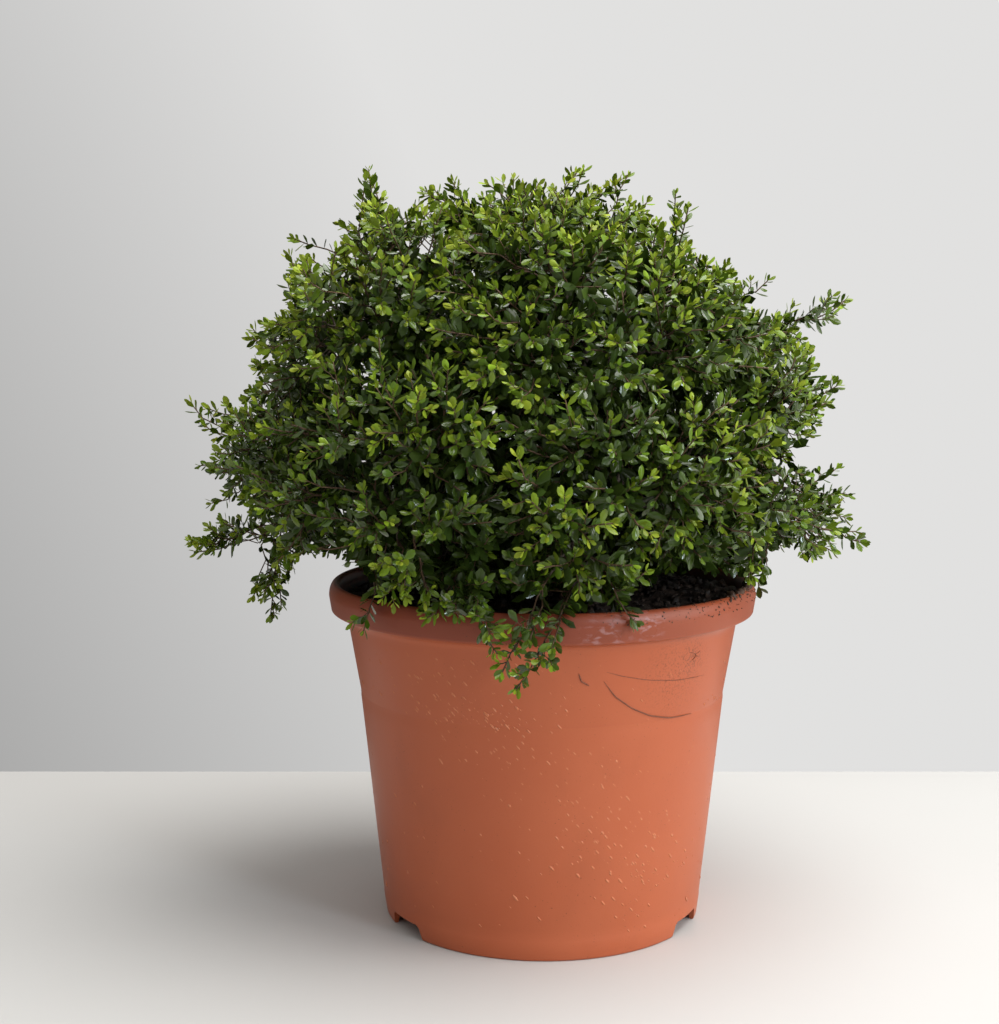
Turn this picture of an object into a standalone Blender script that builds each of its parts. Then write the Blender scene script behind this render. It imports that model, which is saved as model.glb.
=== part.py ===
"""A Japanese holly shrub in its nursery pot, built as separate solids at their real size.

Frame: metres, +Z up, with the origin in the middle of the pot's flat underside. The viewer stands on the -Y
side and has +X on the right.

The crown grows by one rule. An envelope gives how far the crown reaches in each direction. It is shared out
among masses of foliage, and each mass keeps to the part of it that lies nearest to its own middle. Shoot tips
are spread over the envelope, and from a bough's end the twigs fork again and again until each has one tip.
"""

import collections
import itertools
import math
import random

import bmesh
import bpy
from mathutils import Matrix, Vector, noise

SEED = 4
GAP = 0.0003  # left between solids that touch on the real plant

# Pot, a turned shell with a rolled rim
POT_HEIGHT = 0.218
RIM_RADIUS = 0.140
MOUTH_RADIUS = 0.132
RIM_ROLL = 0.0085  # height of the rim's rounded top
RIM_LOWER_EDGE = 0.1995
RIM_TUCK = 0.0015  # how far the rim's outer face draws in at its lower edge
NECK_RADIUS, NECK_HEIGHT = 0.127, 0.190  # the wall's top, under the rim
BEND_RADIUS, BEND_HEIGHT = 0.1193, 0.147  # the wall leans out more above this
FOOT_RADIUS = 0.103
WALL = 0.002
FLOOR_HEIGHT = 0.010  # of the raised underside, between the foot ring and the middle foot
FOOT_RING_WIDTH = 0.003
FOOT_RING_DRAFT = 0.001
MIDDLE_FOOT_RADIUS = 0.030
POT_STEPS = 48

# Three notches in the foot ring, and the drain holes in the floor
NOTCH_ANGLES = [math.radians(-88 + 60 + 120 * i) for i in range(3)]
NOTCH_WIDTH = 0.038
NOTCH_TOP_WIDTH = 0.031
NOTCH_HEIGHT = 0.0092
DRAIN_RADIUS = 0.007
DRAIN_CIRCLE = 0.074
DRAIN_COUNT = 6
CUT_OVER = 0.002  # how far a cutter reaches past the faces that it cuts

# Potting soil, a finger's breadth under the rim and a little higher round the stem
SOIL_EDGE = 0.206
SOIL_MIDDLE = 0.210
SOIL_RINGS = 4

# Trunk, short and hidden, leaning a little to the right and back
TRUNK_FOOT = Vector((0.003, 0.004))
TRUNK_LEAN = Vector((0.006, 0.004))
TRUNK_HEIGHT = 0.058
TRUNK_RADIUS = 0.0085
TRUNK_TAPER = 0.12
TRUNK_FLARE = 0.0065
FLARE_HEIGHT = 0.008
TRUNK_POINTS = 7

# Boughs
BOUGH_RADIUS = 0.0037
BOUGH_TIP = 0.72  # of its radius at the trunk
BOUGH_POINTS = 6
BOUGH_KNEE = 0.35  # where it bends over, as a share of the way to its mass's middle
BOUGH_STAGGER = 0.13  # every second bough of a ring leaves the trunk this share of its height further up

# Crown. The outline is how far the foliage reaches in the picture plane, every 22.5 degrees from +X upwards
CROWN_MIDDLE = Vector((0.0, 0.0, 0.300))
OUTLINE = (
    0.178, 0.190, 0.172, 0.174, 0.180, 0.186, 0.196, 0.206,
    0.222, 0.206, 0.160, 0.142, 0.142, 0.130, 0.160, 0.190,
)
FRONT_REACH = 0.186
BACK_REACH = 0.192
UNDERSIDE = POT_HEIGHT + 0.012
HANG_OUT = 0.006  # how far outside the rim foliage may hang lower
POT_CLEARANCE = 0.0025  # of every leaf and twig from the pot and the soil

# Longest shoots along the outline, as an angle in the picture plane and a distance from the crown's middle
OUTLINE_SHOOTS = (
    (-42, 0.165), (-30, 0.188), (-20, 0.218), (-7, 0.203), (3, 0.186), (13, 0.198), (25, 0.220),
    (37, 0.190), (49, 0.178), (60, 0.192), (69, 0.198), (80, 0.188), (91, 0.188), (100, 0.191),
    (110, 0.193), (120, 0.223), (130, 0.212), (140, 0.218), (151, 0.208), (162, 0.210), (172, 0.241),
    (183, 0.228), (194, 0.243), (205, 0.214), (214, 0.200),
)
SHOOT_DEPTH = 0.025  # how far in front of or behind the picture plane they stand, in turn

# Shoots that hang over the pot's rim, as an azimuth, a distance from the pot's axis and a height
HANGING_SHOOTS = (
    (-92, 0.163, 0.188), (-113, 0.160, 0.205), (-135, 0.154, 0.199), (75, 0.160, 0.200), (142, 0.160, 0.202),
)

# Rings of masses of foliage. The last four say where their boughs leave the trunk, as a share of its height,
# how steeply, how much of the way to the mass's middle they run, and how near the trunk its dense core comes
Ring = collections.namedtuple(
    "Ring", "name count azimuth elevation distance bough_at steepness bough_share core_from"
)
RINGS = (
    Ring("low", 6, -70, -6, 0.122, 0.26, 24, 0.38, 0.048),
    Ring("high", 4, -75, 38, 0.118, 0.58, 46, 0.50, 0.022),
    Ring("top", 1, 0, 90, 0.112, 0.90, 90, 0.50, 0.0),
)
ASIDE = 0.03  # a mass this far from the crown's middle is named for that side
MASS_GAP = 0.0012  # between neighbouring masses
CORE_GAP = 0.003  # between neighbouring cores
CORE_DEPTH = 0.022  # how far the leafy shell stands out of a core
CORE_LUMPS = 0.009
LUMP_SCALE = 2.0
CORE_STEP = 0.001
STEM_OUT = 0.006  # how much of a mass's stem shows between its bough and its core
STEM_TAPER = 0.05
LEADER_TAPER = 0.3  # the leader runs on from the stem to the mass's middle, where it forks
CLEARANCE = 0.0015  # of twigs and leaves from every limb

# Twigs and leaves. Each leaf stands for a small spray of leaves
SHOOTS = 94
SHOOT_SPREAD = 0.012  # how unevenly the tips reach the envelope
SHOOT_STEP = 0.004  # by which a shoot that would touch the pot is shortened
LEAST_REACH = 0.07
FORK_AT = 0.25
TWIG_RADIUS = 0.0015
TWIG_TAPER = 0.15
TWIG_THICKENING = 0.36  # a twig's radius grows by this power of the number of tips that it bears
LEAF_LENGTH = 0.030
END_LEAF = 0.74  # length of the leaf at a twig's end, against the others
LEAF_WIDTH = 0.0155
LEAF_THICKNESS = 0.0018
LEAF_WIDEST = 0.58  # of the way along it
LEAF_ROOT = 0.0022  # how far a root is sunk into the end of a twig
LEAVES_PER_SHOOT = 4
LEAF_SPACING = 0.007
FIRST_LEAF_BACK = 0.3  # of that spacing, from the leaf at a twig's end to the next
LEAF_TRIES = 5  # ways round the twig in which a leaf may find room
LEAF_TURN = math.radians(137.5)
LEAF_SPREAD = math.radians(54)
LENGTH_RANGE = (0.88, 1.12)
WIDTH_RANGE = (0.90, 1.10)
SPREAD_RANGE = (0.75, 1.15)


def clear_scene():
    for obj in list(bpy.data.objects):
        bpy.data.objects.remove(obj, do_unlink=True)


def new_collection(name):
    collection = bpy.data.collections.new(name)
    bpy.context.scene.collection.children.link(collection)
    return collection


def material(name, colour, roughness):
    made = bpy.data.materials.new(name)
    made.use_nodes = True
    shader = made.node_tree.nodes["Principled BSDF"]
    shader.inputs["Base Color"].default_value = (*colour, 1.0)
    shader.inputs["Roughness"].default_value = roughness
    shader.inputs["Metallic"].default_value = 0.0
    return made


def add_object(name, mesh, collection, finish=None):
    obj = bpy.data.objects.new(name, mesh)
    collection.objects.link(obj)
    if finish:
        mesh.materials.append(finish)
    return obj


def bmesh_object(name, bm, collection, finish=None):
    mesh = bpy.data.meshes.new(name)
    bm.to_mesh(mesh)
    bm.free()
    return add_object(name, mesh, collection, finish)


def turned(name, profile, steps, collection, finish):
    """A profile of (radius, height) points, run down its outer side, turned round the Z axis."""
    mesh = bpy.data.meshes.new(name)
    points = [(radius, 0.0, height) for radius, height in profile]
    mesh.from_pydata(points, [(i, i + 1) for i in range(len(points) - 1)], [])
    obj = add_object(name, mesh, collection, finish)
    screw = obj.modifiers.new("turn", "SCREW")
    screw.steps = steps
    screw.render_steps = steps
    screw.use_merge_vertices = True
    screw.merge_threshold = 1e-5
    screw.use_smooth_shade = True
    return obj


def boolean(obj, operation, other, solver="EXACT"):
    cut = obj.modifiers.new(other.name, "BOOLEAN")
    cut.operation = operation
    cut.solver = solver
    if isinstance(other, bpy.types.Collection):
        cut.operand_type = "COLLECTION"
        cut.collection = other
    else:
        cut.object = other


def evaluated_mesh(obj):
    """The object's mesh with its modifiers applied."""
    bpy.context.view_layer.update()
    graph = bpy.context.evaluated_depsgraph_get()
    return bpy.data.meshes.new_from_object(obj.evaluated_get(graph), depsgraph=graph)


def inner_radius(height):
    """The inside of the pot's wall at a height. It flares from the neck into the rolled rim."""
    line = [(0.0, FOOT_RADIUS - WALL), (BEND_HEIGHT, BEND_RADIUS - WALL), (NECK_HEIGHT, NECK_RADIUS - WALL)]
    line.append((POT_HEIGHT - RIM_ROLL, MOUTH_RADIUS))
    for (low, radius), (high, next_radius) in zip(line, line[1:]):
        if height <= high:
            break
    return radius + (next_radius - radius) * (height - low) / (high - low)


def rim_section(count=5):
    """The rolled rim, from the mouth's edge over its round top and down its outer face."""
    half_width = (RIM_RADIUS - MOUTH_RADIUS) / 2
    for i in range(count):
        angle = math.pi * (1 - i / (count - 1))
        radius = MOUTH_RADIUS + half_width * (1 + math.cos(angle))
        yield radius, POT_HEIGHT - RIM_ROLL * (1 - math.sin(angle))
    yield RIM_RADIUS - RIM_TUCK, RIM_LOWER_EDGE


def build_pot(collection, cutters, finish):
    under = FLOOR_HEIGHT
    ring = FOOT_RADIUS - FOOT_RING_WIDTH
    profile = [(0.0, WALL), (MIDDLE_FOOT_RADIUS - WALL, WALL), (MIDDLE_FOOT_RADIUS, under + WALL)]
    profile += [(inner_radius(height), height) for height in (under + WALL, BEND_HEIGHT, NECK_HEIGHT)]
    profile += rim_section()
    profile += [(NECK_RADIUS, NECK_HEIGHT), (BEND_RADIUS, BEND_HEIGHT), (FOOT_RADIUS, 0.0)]
    profile += [(ring, 0.0), (ring - FOOT_RING_DRAFT, under)]
    profile += [(MIDDLE_FOOT_RADIUS + WALL, under), (MIDDLE_FOOT_RADIUS, 0.0), (0.0, 0.0)]
    pot = turned("pot", profile, POT_STEPS, collection, finish)
    for i, angle in enumerate(NOTCH_ANGLES):
        boolean(pot, "DIFFERENCE", notch_cutter(i, angle, cutters))
    for i in range(DRAIN_COUNT):
        boolean(pot, "DIFFERENCE", drain_cutter(i, NOTCH_ANGLES[0] + math.tau / DRAIN_COUNT * i, cutters))


def as_cutter(obj):
    obj.hide_render = True
    obj.display_type = "WIRE"
    return obj


def notch_cutter(index, angle, cutters):
    """A block across the foot ring, narrower at its top."""
    length = FOOT_RING_WIDTH + 4 * CUT_OVER
    bm = bmesh.new()
    bmesh.ops.create_cube(bm, size=1.0)
    for vertex in bm.verts:
        at_top = vertex.co.z > 0
        width = NOTCH_TOP_WIDTH if at_top else NOTCH_WIDTH
        vertex.co = Vector((vertex.co.x * length, vertex.co.y * width, NOTCH_HEIGHT if at_top else -CUT_OVER))
    cutter = as_cutter(bmesh_object(f"notch_cutter_{index}", bm, cutters))
    cutter.location = Vector((math.cos(angle), math.sin(angle), 0)) * (FOOT_RADIUS - FOOT_RING_WIDTH / 2)
    cutter.rotation_euler = (0, 0, angle)
    return cutter


def drain_cutter(index, angle, cutters):
    bm = bmesh.new()
    bmesh.ops.create_cone(
        bm, cap_ends=True, segments=12, radius1=DRAIN_RADIUS, radius2=DRAIN_RADIUS, depth=WALL + 2 * CUT_OVER
    )
    cutter = as_cutter(bmesh_object(f"drain_cutter_{index}", bm, cutters))
    place = Vector((math.cos(angle), math.sin(angle), 0)) * DRAIN_CIRCLE
    place.z = FLOOR_HEIGHT + WALL / 2
    cutter.location = place
    return cutter


def build_soil(collection, finish):
    """The soil fills the pot, GAP clear of it, and falls from a flat middle to the wall."""
    edge = inner_radius(SOIL_EDGE) - GAP
    profile = [(0.0, SOIL_MIDDLE)]
    for i in range(SOIL_RINGS):
        fall = (1 - math.cos(math.pi * i / (SOIL_RINGS - 1))) / 2
        profile.append((edge * (i + 1) / SOIL_RINGS, SOIL_MIDDLE + (SOIL_EDGE - SOIL_MIDDLE) * fall))
    bottom = FLOOR_HEIGHT + WALL + GAP
    profile += [(inner_radius(height) - GAP, height) for height in (NECK_HEIGHT, BEND_HEIGHT, bottom)]
    profile += [(0.0, bottom)]
    turned("soil", profile, POT_STEPS // 2, collection, finish)


def tube(name, points, radii, sides_setting, collection, finish=None):
    """A tapering limb along points, as a closed mesh made from a curve."""
    data = bpy.data.curves.new(name, "CURVE")
    data.dimensions = "3D"
    data.bevel_depth = 1.0
    data.bevel_resolution = sides_setting
    data.use_fill_caps = True
    data.twist_mode = "MINIMUM"
    spline = data.splines.new("POLY")
    spline.points.add(len(points) - 1)
    for control, point, radius in zip(spline.points, points, radii):
        control.co = (*point, 1.0)
        control.radius = radius
    guide = bpy.data.objects.new(name + "_guide", data)
    collection.objects.link(guide)
    mesh = evaluated_mesh(guide)
    bpy.data.objects.remove(guide, do_unlink=True)
    bm = bmesh.new()
    bm.from_mesh(mesh)
    bmesh.ops.remove_doubles(bm, verts=bm.verts, dist=1e-5)
    bmesh.ops.recalc_face_normals(bm, faces=bm.faces)
    bpy.data.meshes.remove(mesh)
    return bmesh_object(name, bm, collection, finish)


def trunk_point(height):
    """The trunk's middle at a height above the soil."""
    share = max(0.0, height - FLARE_HEIGHT / 2) / TRUNK_HEIGHT
    side = TRUNK_FOOT + TRUNK_LEAN * share
    return Vector((side.x, side.y, SOIL_MIDDLE + GAP + height))


def trunk_radius(height):
    taper = 1 - TRUNK_TAPER * height / TRUNK_HEIGHT
    return TRUNK_RADIUS * taper + TRUNK_FLARE * math.exp(-height / FLARE_HEIGHT)


def trunk_line():
    """The trunk's points and radii, closer together at its flared foot."""
    heights = [TRUNK_HEIGHT * (i / (TRUNK_POINTS - 1)) ** 1.5 for i in range(TRUNK_POINTS)]
    return [trunk_point(height) for height in heights], [trunk_radius(height) for height in heights]


def build_trunk_cutter(cutters):
    """A slightly thicker and longer copy of the trunk, which cuts the boughs clear of it."""
    points, radii = trunk_line()
    points[-1] = points[-1] + Vector((0, 0, GAP))
    return as_cutter(tube("trunk_cutter", points, [radius + GAP for radius in radii], 3, cutters))


def direction(azimuth, elevation):
    """A unit vector, from degrees round from +X and degrees up."""
    turn = math.radians(azimuth)
    rise = math.radians(elevation)
    return Vector((math.cos(turn) * math.cos(rise), math.sin(turn) * math.cos(rise), math.sin(rise)))


def reach(towards):
    """How far the crown's envelope lies from its middle, in a direction."""
    towards = towards.normalized()
    place = math.atan2(towards.z, towards.x) % math.tau / math.tau * len(OUTLINE)
    before = int(place) % len(OUTLINE)
    share = (1 - math.cos(math.pi * (place % 1))) / 2
    side = OUTLINE[before] * (1 - share) + OUTLINE[(before + 1) % len(OUTLINE)] * share
    depth = FRONT_REACH if towards.y < 0 else BACK_REACH
    return 1 / math.hypot(math.hypot(towards.x, towards.z) / side, towards.y / depth)


def clear_of_pot(point):
    """Whether a point is above the pot and its soil, or outside its rim."""
    out = math.hypot(point.x, point.y)
    if point.z > POT_HEIGHT + POT_CLEARANCE or out > RIM_RADIUS + POT_CLEARANCE:
        return True
    return out < MOUTH_RADIUS - POT_CLEARANCE and point.z > SOIL_MIDDLE + POT_CLEARANCE


def in_crown_space(point):
    """Over the pot the crown stops a little above the rim, and outside it shoots may hang down."""
    return point.z > UNDERSIDE or math.hypot(point.x, point.y) > RIM_RADIUS + HANG_OUT


class Limb:
    """A trunk or bough as a chain of points with radii."""

    def __init__(self, points, radii):
        self.points = points
        self.radii = radii

    def clearance(self, point):
        found = []
        for start, end, radius in zip(self.points, self.points[1:], self.radii):
            along = end - start
            share = max(0.0, min(1.0, (point - start).dot(along) / along.length_squared))
            found.append((point - start - along * share).length - radius)
        return min(found)


class Wall:
    """A plane that foliage stays behind."""

    def __init__(self, point, inwards):
        self.point = point
        self.inwards = inwards.normalized()

    def depth(self, point):
        return (point - self.point).dot(self.inwards)


class Mass:
    """One mass of foliage: its part of the crown, its bough, and the tips of its shoots."""

    def __init__(self, ring, index):
        self.azimuth = ring.azimuth + 360 / ring.count * index
        self.ring = ring
        self.middle = CROWN_MIDDLE + direction(self.azimuth, ring.elevation) * ring.distance
        self.name = "_".join([ring.name] + self.side_words())
        self.tips = []
        self.bough = self.bough_limb(ring.bough_at + BOUGH_STAGGER * (index % 2))

    def side_words(self):
        side = self.middle - CROWN_MIDDLE
        across = ["left"] if side.x < -ASIDE else ["right"] if side.x > ASIDE else []
        return (["front"] if side.y < -ASIDE else ["back"] if side.y > ASIDE else []) + across

    def bough_limb(self, share):
        """The bough leaves the trunk, rises outwards and bends over towards the mass's middle."""
        start = trunk_point(TRUNK_HEIGHT * share)
        way = self.middle - start
        knee = start + direction(self.azimuth, self.ring.steepness) * way.length * BOUGH_KNEE
        points = []
        for i in range(BOUGH_POINTS):
            t = self.ring.bough_share * i / (BOUGH_POINTS - 1)
            points.append(start * (1 - t) ** 2 + knee * 2 * t * (1 - t) + self.middle * t**2)
        step = (1 - BOUGH_TIP) / (BOUGH_POINTS - 1)
        return Limb(points, [BOUGH_RADIUS * (1 - step * i) for i in range(BOUGH_POINTS)])

    def heading(self):
        return (self.bough.points[-1] - self.bough.points[-2]).normalized()

    def set_walls(self, masses):
        """Planes halfway to every other mass, and for the core others clear of the pot, trunk and bough."""
        self.walls = []
        for other in masses:
            if other is not self:
                halfway = (self.middle + other.middle) / 2
                self.walls.append(Wall(halfway, self.middle - other.middle))
        outwards = direction(self.azimuth, 0) if self.ring.core_from else Vector((0, 0, 1))
        self.core_walls = [
            Wall(Vector((0, 0, UNDERSIDE)), Vector((0, 0, 1))),
            Wall(trunk_point(TRUNK_HEIGHT) + outwards * self.ring.core_from, outwards),
            Wall(self.bough.points[-1] + self.heading() * STEM_OUT, self.heading()),
        ]

    def depth(self, point):
        """How far a point is inside this mass's part of the crown. It is negative outside."""
        return min(wall.depth(point) for wall in self.walls)


def make_masses():
    masses = [Mass(ring, index) for ring in RINGS for index in range(ring.count)]
    for mass in masses:
        mass.set_walls(masses)
    return masses


def spread_tips(rng):
    """Shoot tips spread evenly over the envelope, and the long shoots."""
    tips = []
    for i in range(SHOOTS):
        height = 1 - 2 * (i + 0.5) / SHOOTS
        ring = math.sqrt(1 - height**2)
        towards = Vector((ring * math.cos(LEAF_TURN * i), ring * math.sin(LEAF_TURN * i), height))
        distance = reach(towards) - rng.random() * SHOOT_SPREAD
        while distance > LEAST_REACH and not in_crown_space(CROWN_MIDDLE + towards * distance):
            distance -= SHOOT_STEP
        if distance > LEAST_REACH:
            tips.append(CROWN_MIDDLE + towards * distance)
    for i, (angle, distance) in enumerate(OUTLINE_SHOOTS):
        turn = math.radians(angle)
        depth = -SHOOT_DEPTH if i % 2 else SHOOT_DEPTH
        tips.append(CROWN_MIDDLE + Vector((math.cos(turn) * distance, depth, math.sin(turn) * distance)))
    for azimuth, distance, height in HANGING_SHOOTS:
        tips.append(direction(azimuth, 0) * distance + Vector((0, 0, height)))
    return tips


def core_object(mass, collection):
    """The dense inside of a mass: a lumpy ball that keeps behind the mass's walls."""
    bm = bmesh.new()
    bmesh.ops.create_icosphere(bm, subdivisions=2, radius=1.0)
    other_lumps = mass.middle * 40  # so that no two masses have the same
    for vertex in bm.verts:
        towards = vertex.co.normalized()
        lump = CORE_LUMPS * noise.noise(towards * LUMP_SCALE + other_lumps)
        distance = 3 * CORE_STEP
        while True:
            point = mass.middle + towards * (distance + CORE_STEP)
            from_middle = point - CROWN_MIDDLE
            outside = from_middle.length > reach(from_middle) - CORE_DEPTH + lump
            behind = min(wall.depth(point) for wall in mass.core_walls)
            if outside or mass.depth(point) < CORE_GAP / 2 or behind < 0:
                break
            distance += CORE_STEP
        vertex.co = mass.middle + towards * distance
    return bmesh_object(mass.name + "_core", bm, collection)


def halves(tips):
    """The tips in two groups, split across the way in which they are spread furthest."""
    one = max(tips, key=lambda tip: (tip - tips[0]).length)
    other = max(tips, key=lambda tip: (tip - one).length)
    ordered = sorted(tips, key=lambda tip: (tip - one).dot(other - one))
    return ordered[: len(tips) // 2], ordered[len(tips) // 2 :]


def grow(start, tips, twigs):
    """Twigs from start to every tip: one twig runs towards the middle of its tips and forks there."""
    if len(tips) == 1:
        twigs.append((start, tips[0], 1))
        return
    fork = start.lerp(sum(tips, Vector()) / len(tips), FORK_AT)
    twigs.append((start, fork, len(tips)))
    for group in halves(tips):
        grow(fork, group, twigs)


def frustum(name, start, end, start_radius, end_radius, sides, collection):
    along = end - start
    bm = bmesh.new()
    bmesh.ops.create_cone(
        bm, cap_ends=True, segments=sides, radius1=start_radius, radius2=end_radius, depth=along.length
    )
    turn = along.to_track_quat("Z", "Y").to_matrix().to_4x4()
    bmesh.ops.transform(bm, matrix=Matrix.Translation((start + end) / 2) @ turn, verts=bm.verts)
    return bmesh_object(name, bm, collection)


def leaf_frame(base, heading, up):
    """A leaf's own axes: X runs along it from its base, and Z is the way that its upper face looks."""
    across = up.cross(heading).normalized()
    frame = Matrix((heading, across, heading.cross(across))).transposed().to_4x4()
    frame.translation = base
    return frame


def leaf_bmesh(frame, length, width):
    """A flat leaf of 8 faces, widest past its middle."""
    bm = bmesh.new()
    bmesh.ops.create_uvsphere(bm, u_segments=4, v_segments=2, radius=1.0)
    bmesh.ops.transform(bm, matrix=Matrix.Rotation(math.pi / 2, 4, "Y"), verts=bm.verts)
    for vertex in bm.verts:
        x, y, z = vertex.co
        place = LEAF_WIDEST if abs(x) < 0.5 else round(x / 2 + 0.5)
        vertex.co = Vector((place * length, y * width / 2, z * LEAF_THICKNESS / 2))
    bmesh.ops.transform(bm, matrix=frame, verts=bm.verts)
    return bm


def samples(corners, count):
    """The corners, and count points along each line between two of them."""
    found = list(corners)
    for start, end in itertools.combinations(corners, 2):
        found += [start.lerp(end, (j + 1) / (count + 1)) for j in range(count)]
    return found


def keeps_in(points, mass, limbs):
    """Whether points stay in the mass's own part, clear of the pot and of every limb."""
    for point in points:
        if mass.depth(point) < MASS_GAP / 2 or not clear_of_pot(point):
            return False
        if min(limb.clearance(point) for limb in limbs) < CLEARANCE:
            return False
    return True


def add_leaves(mass, limbs, start, tip, rng, scraps):
    """Leaves round the last stretch of a twig, the first at its end and the others further back."""
    along = (tip - start).normalized()
    side = along.orthogonal().normalized()
    turn = rng.random() * math.tau
    for i in range(LEAVES_PER_SHOOT):
        length = LEAF_LENGTH * (rng.uniform(*LENGTH_RANGE) if i else END_LEAF)
        width = LEAF_WIDTH * rng.uniform(*WIDTH_RANGE)
        spread = LEAF_SPREAD * rng.uniform(*SPREAD_RANGE) if i else 0.0
        back = LEAF_SPACING * (i - 1 + FIRST_LEAF_BACK) if i else 0.0
        base = tip - along * (LEAF_LENGTH * END_LEAF + back)
        for attempt in range(LEAF_TRIES):
            around = turn + LEAF_TURN * i + attempt * math.tau / LEAF_TRIES
            outwards = Matrix.Rotation(around, 3, along) @ side
            heading = along * math.cos(spread) + outwards * math.sin(spread)
            bm = leaf_bmesh(leaf_frame(base, heading, along if i else outwards), length, width)
            if keeps_in(samples([vertex.co for vertex in bm.verts], 2), mass, limbs):
                bmesh_object(mass.name + "_leaf", bm, scraps)
                break
            bm.free()


def build_mass(mass, limbs, rng, collection, scraps, finish):
    """A mass's stem, leader, core, twigs and leaves, fused into one solid."""
    tip = mass.bough.points[-1]
    radius = mass.bough.radii[-1]
    start, inside, bend = (tip + mass.heading() * way for way in (GAP, STEM_OUT, STEM_OUT * 1.5))
    stem = frustum("foliage_" + mass.name, start, bend, radius, radius * (1 - STEM_TAPER), 6, collection)
    stem.data.materials.append(finish)
    leader_radii = radius * (1 - 2 * STEM_TAPER), radius * (1 - LEADER_TAPER)
    frustum(mass.name + "_leader", inside, mass.middle, *leader_radii, 5, scraps)
    core_object(mass, scraps)
    twigs = []
    grow(mass.middle, mass.tips, twigs)
    for start, end, count in twigs:
        if not keeps_in(samples([start, end], 8), mass, limbs):
            continue
        along = (end - start).normalized()
        twig_end = end - along * (LEAF_LENGTH * END_LEAF - LEAF_ROOT) if count == 1 else end
        if count > 1 or (twig_end - start).dot(along) > LEAF_ROOT:
            radius = TWIG_RADIUS * count**TWIG_THICKENING
            frustum(mass.name + "_twig", start, twig_end, radius, radius * (1 - TWIG_TAPER), 3, scraps)
        if count == 1:
            add_leaves(mass, limbs, start, end, rng, scraps)
    fuse(stem, scraps)


def fuse(obj, scraps):
    """Joins everything in scraps to the object by one Boolean union, then tidies the result."""
    boolean(obj, "UNION", scraps, "MANIFOLD")
    mesh = evaluated_mesh(obj)
    obj.modifiers.clear()
    keep_outer_body(mesh)
    obj.data = mesh
    for scrap in list(scraps.objects):
        bpy.data.objects.remove(scrap, do_unlink=True)


def islands(bm):
    """The mesh's separate surfaces, as lists of faces."""
    left = set(bm.faces)
    found = []
    while left:
        pending = [left.pop()]
        island = []
        while pending:
            face = pending.pop()
            island.append(face)
            near = {neighbour for edge in face.edges for neighbour in edge.link_faces} & left
            left -= near
            pending += near
        found.append(island)
    return found


def volume(faces):
    """The signed volume that a closed surface of triangles holds."""
    corners = ([vertex.co for vertex in face.verts] for face in faces)
    return sum(a.dot(b.cross(c)) for a, b, c in corners) / 6


def keep_outer_body(mesh):
    """Fills hollows that fusing sealed and drops loose scraps, so that the largest surface is left."""
    bm = bmesh.new()
    bm.from_mesh(mesh)
    bmesh.ops.triangulate(bm, faces=bm.faces)
    for island in sorted(islands(bm), key=volume)[:-1]:
        bmesh.ops.delete(bm, geom=island, context="FACES")
    bm.to_mesh(mesh)
    bm.free()


def main():
    clear_scene()
    rng = random.Random(SEED)
    plant = new_collection("holly_in_pot")
    cutters = new_collection("cutters")
    scraps = new_collection("scraps")
    terracotta = material("terracotta_plastic", (0.42, 0.105, 0.045), 0.42)
    earth = material("potting_soil", (0.020, 0.014, 0.010), 0.95)
    bark = material("bark", (0.115, 0.082, 0.055), 0.85)
    leaf = material("leaf", (0.045, 0.110, 0.022), 0.38)

    build_pot(plant, cutters, terracotta)
    build_soil(plant, earth)
    tube("trunk", *trunk_line(), 3, plant, bark)
    cutter = build_trunk_cutter(cutters)

    masses = make_masses()
    for mass in masses:
        bough = tube("bough_" + mass.name, mass.bough.points, mass.bough.radii, 1, plant, bark)
        boolean(bough, "DIFFERENCE", cutter)
    for tip in spread_tips(rng):
        max(masses, key=lambda mass: mass.depth(tip)).tips.append(tip)

    limbs = [Limb(*trunk_line())] + [mass.bough for mass in masses]
    for mass in masses:
        build_mass(mass, limbs, rng, plant, scraps, leaf)
    bpy.data.collections.remove(scraps)


main()
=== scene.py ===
"""Looks of a Japanese holly shrub in its nursery pot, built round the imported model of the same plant.

Frame: metres, +Z up, with the origin in the middle of the pot's flat underside. The viewer stands on the -Y
side and has +X on the right.

The crown grows from the tips of the boughs by the rule that the solids were grown by, carried on to finer
twigs: a twig runs a quarter of the way to the middle of its tips and forks there, until a few tips are left.
Those make a spray, a leading shoot with side shoots, and every shoot bears small leaves.
"""

import collections
import functools
import math

import bmesh
import bpy
import numpy as np
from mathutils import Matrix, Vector, noise


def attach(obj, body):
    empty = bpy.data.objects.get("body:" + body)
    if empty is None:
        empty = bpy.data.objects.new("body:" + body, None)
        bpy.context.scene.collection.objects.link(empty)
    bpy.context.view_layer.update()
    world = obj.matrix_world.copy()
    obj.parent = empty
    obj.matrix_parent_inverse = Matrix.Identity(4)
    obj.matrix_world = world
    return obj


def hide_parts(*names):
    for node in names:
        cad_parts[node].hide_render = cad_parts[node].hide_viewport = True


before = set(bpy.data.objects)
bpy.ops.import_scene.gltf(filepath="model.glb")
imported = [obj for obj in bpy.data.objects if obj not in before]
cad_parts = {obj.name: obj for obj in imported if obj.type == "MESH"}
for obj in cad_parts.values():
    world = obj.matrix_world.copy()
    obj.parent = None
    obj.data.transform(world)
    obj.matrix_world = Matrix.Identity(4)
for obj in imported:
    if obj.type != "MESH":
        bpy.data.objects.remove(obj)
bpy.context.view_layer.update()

SEED = 11
GAP = 0.0003  # between one solid and the next
UP = np.array((0.0, 0.0, 1.0))
norm = np.linalg.norm

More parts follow.
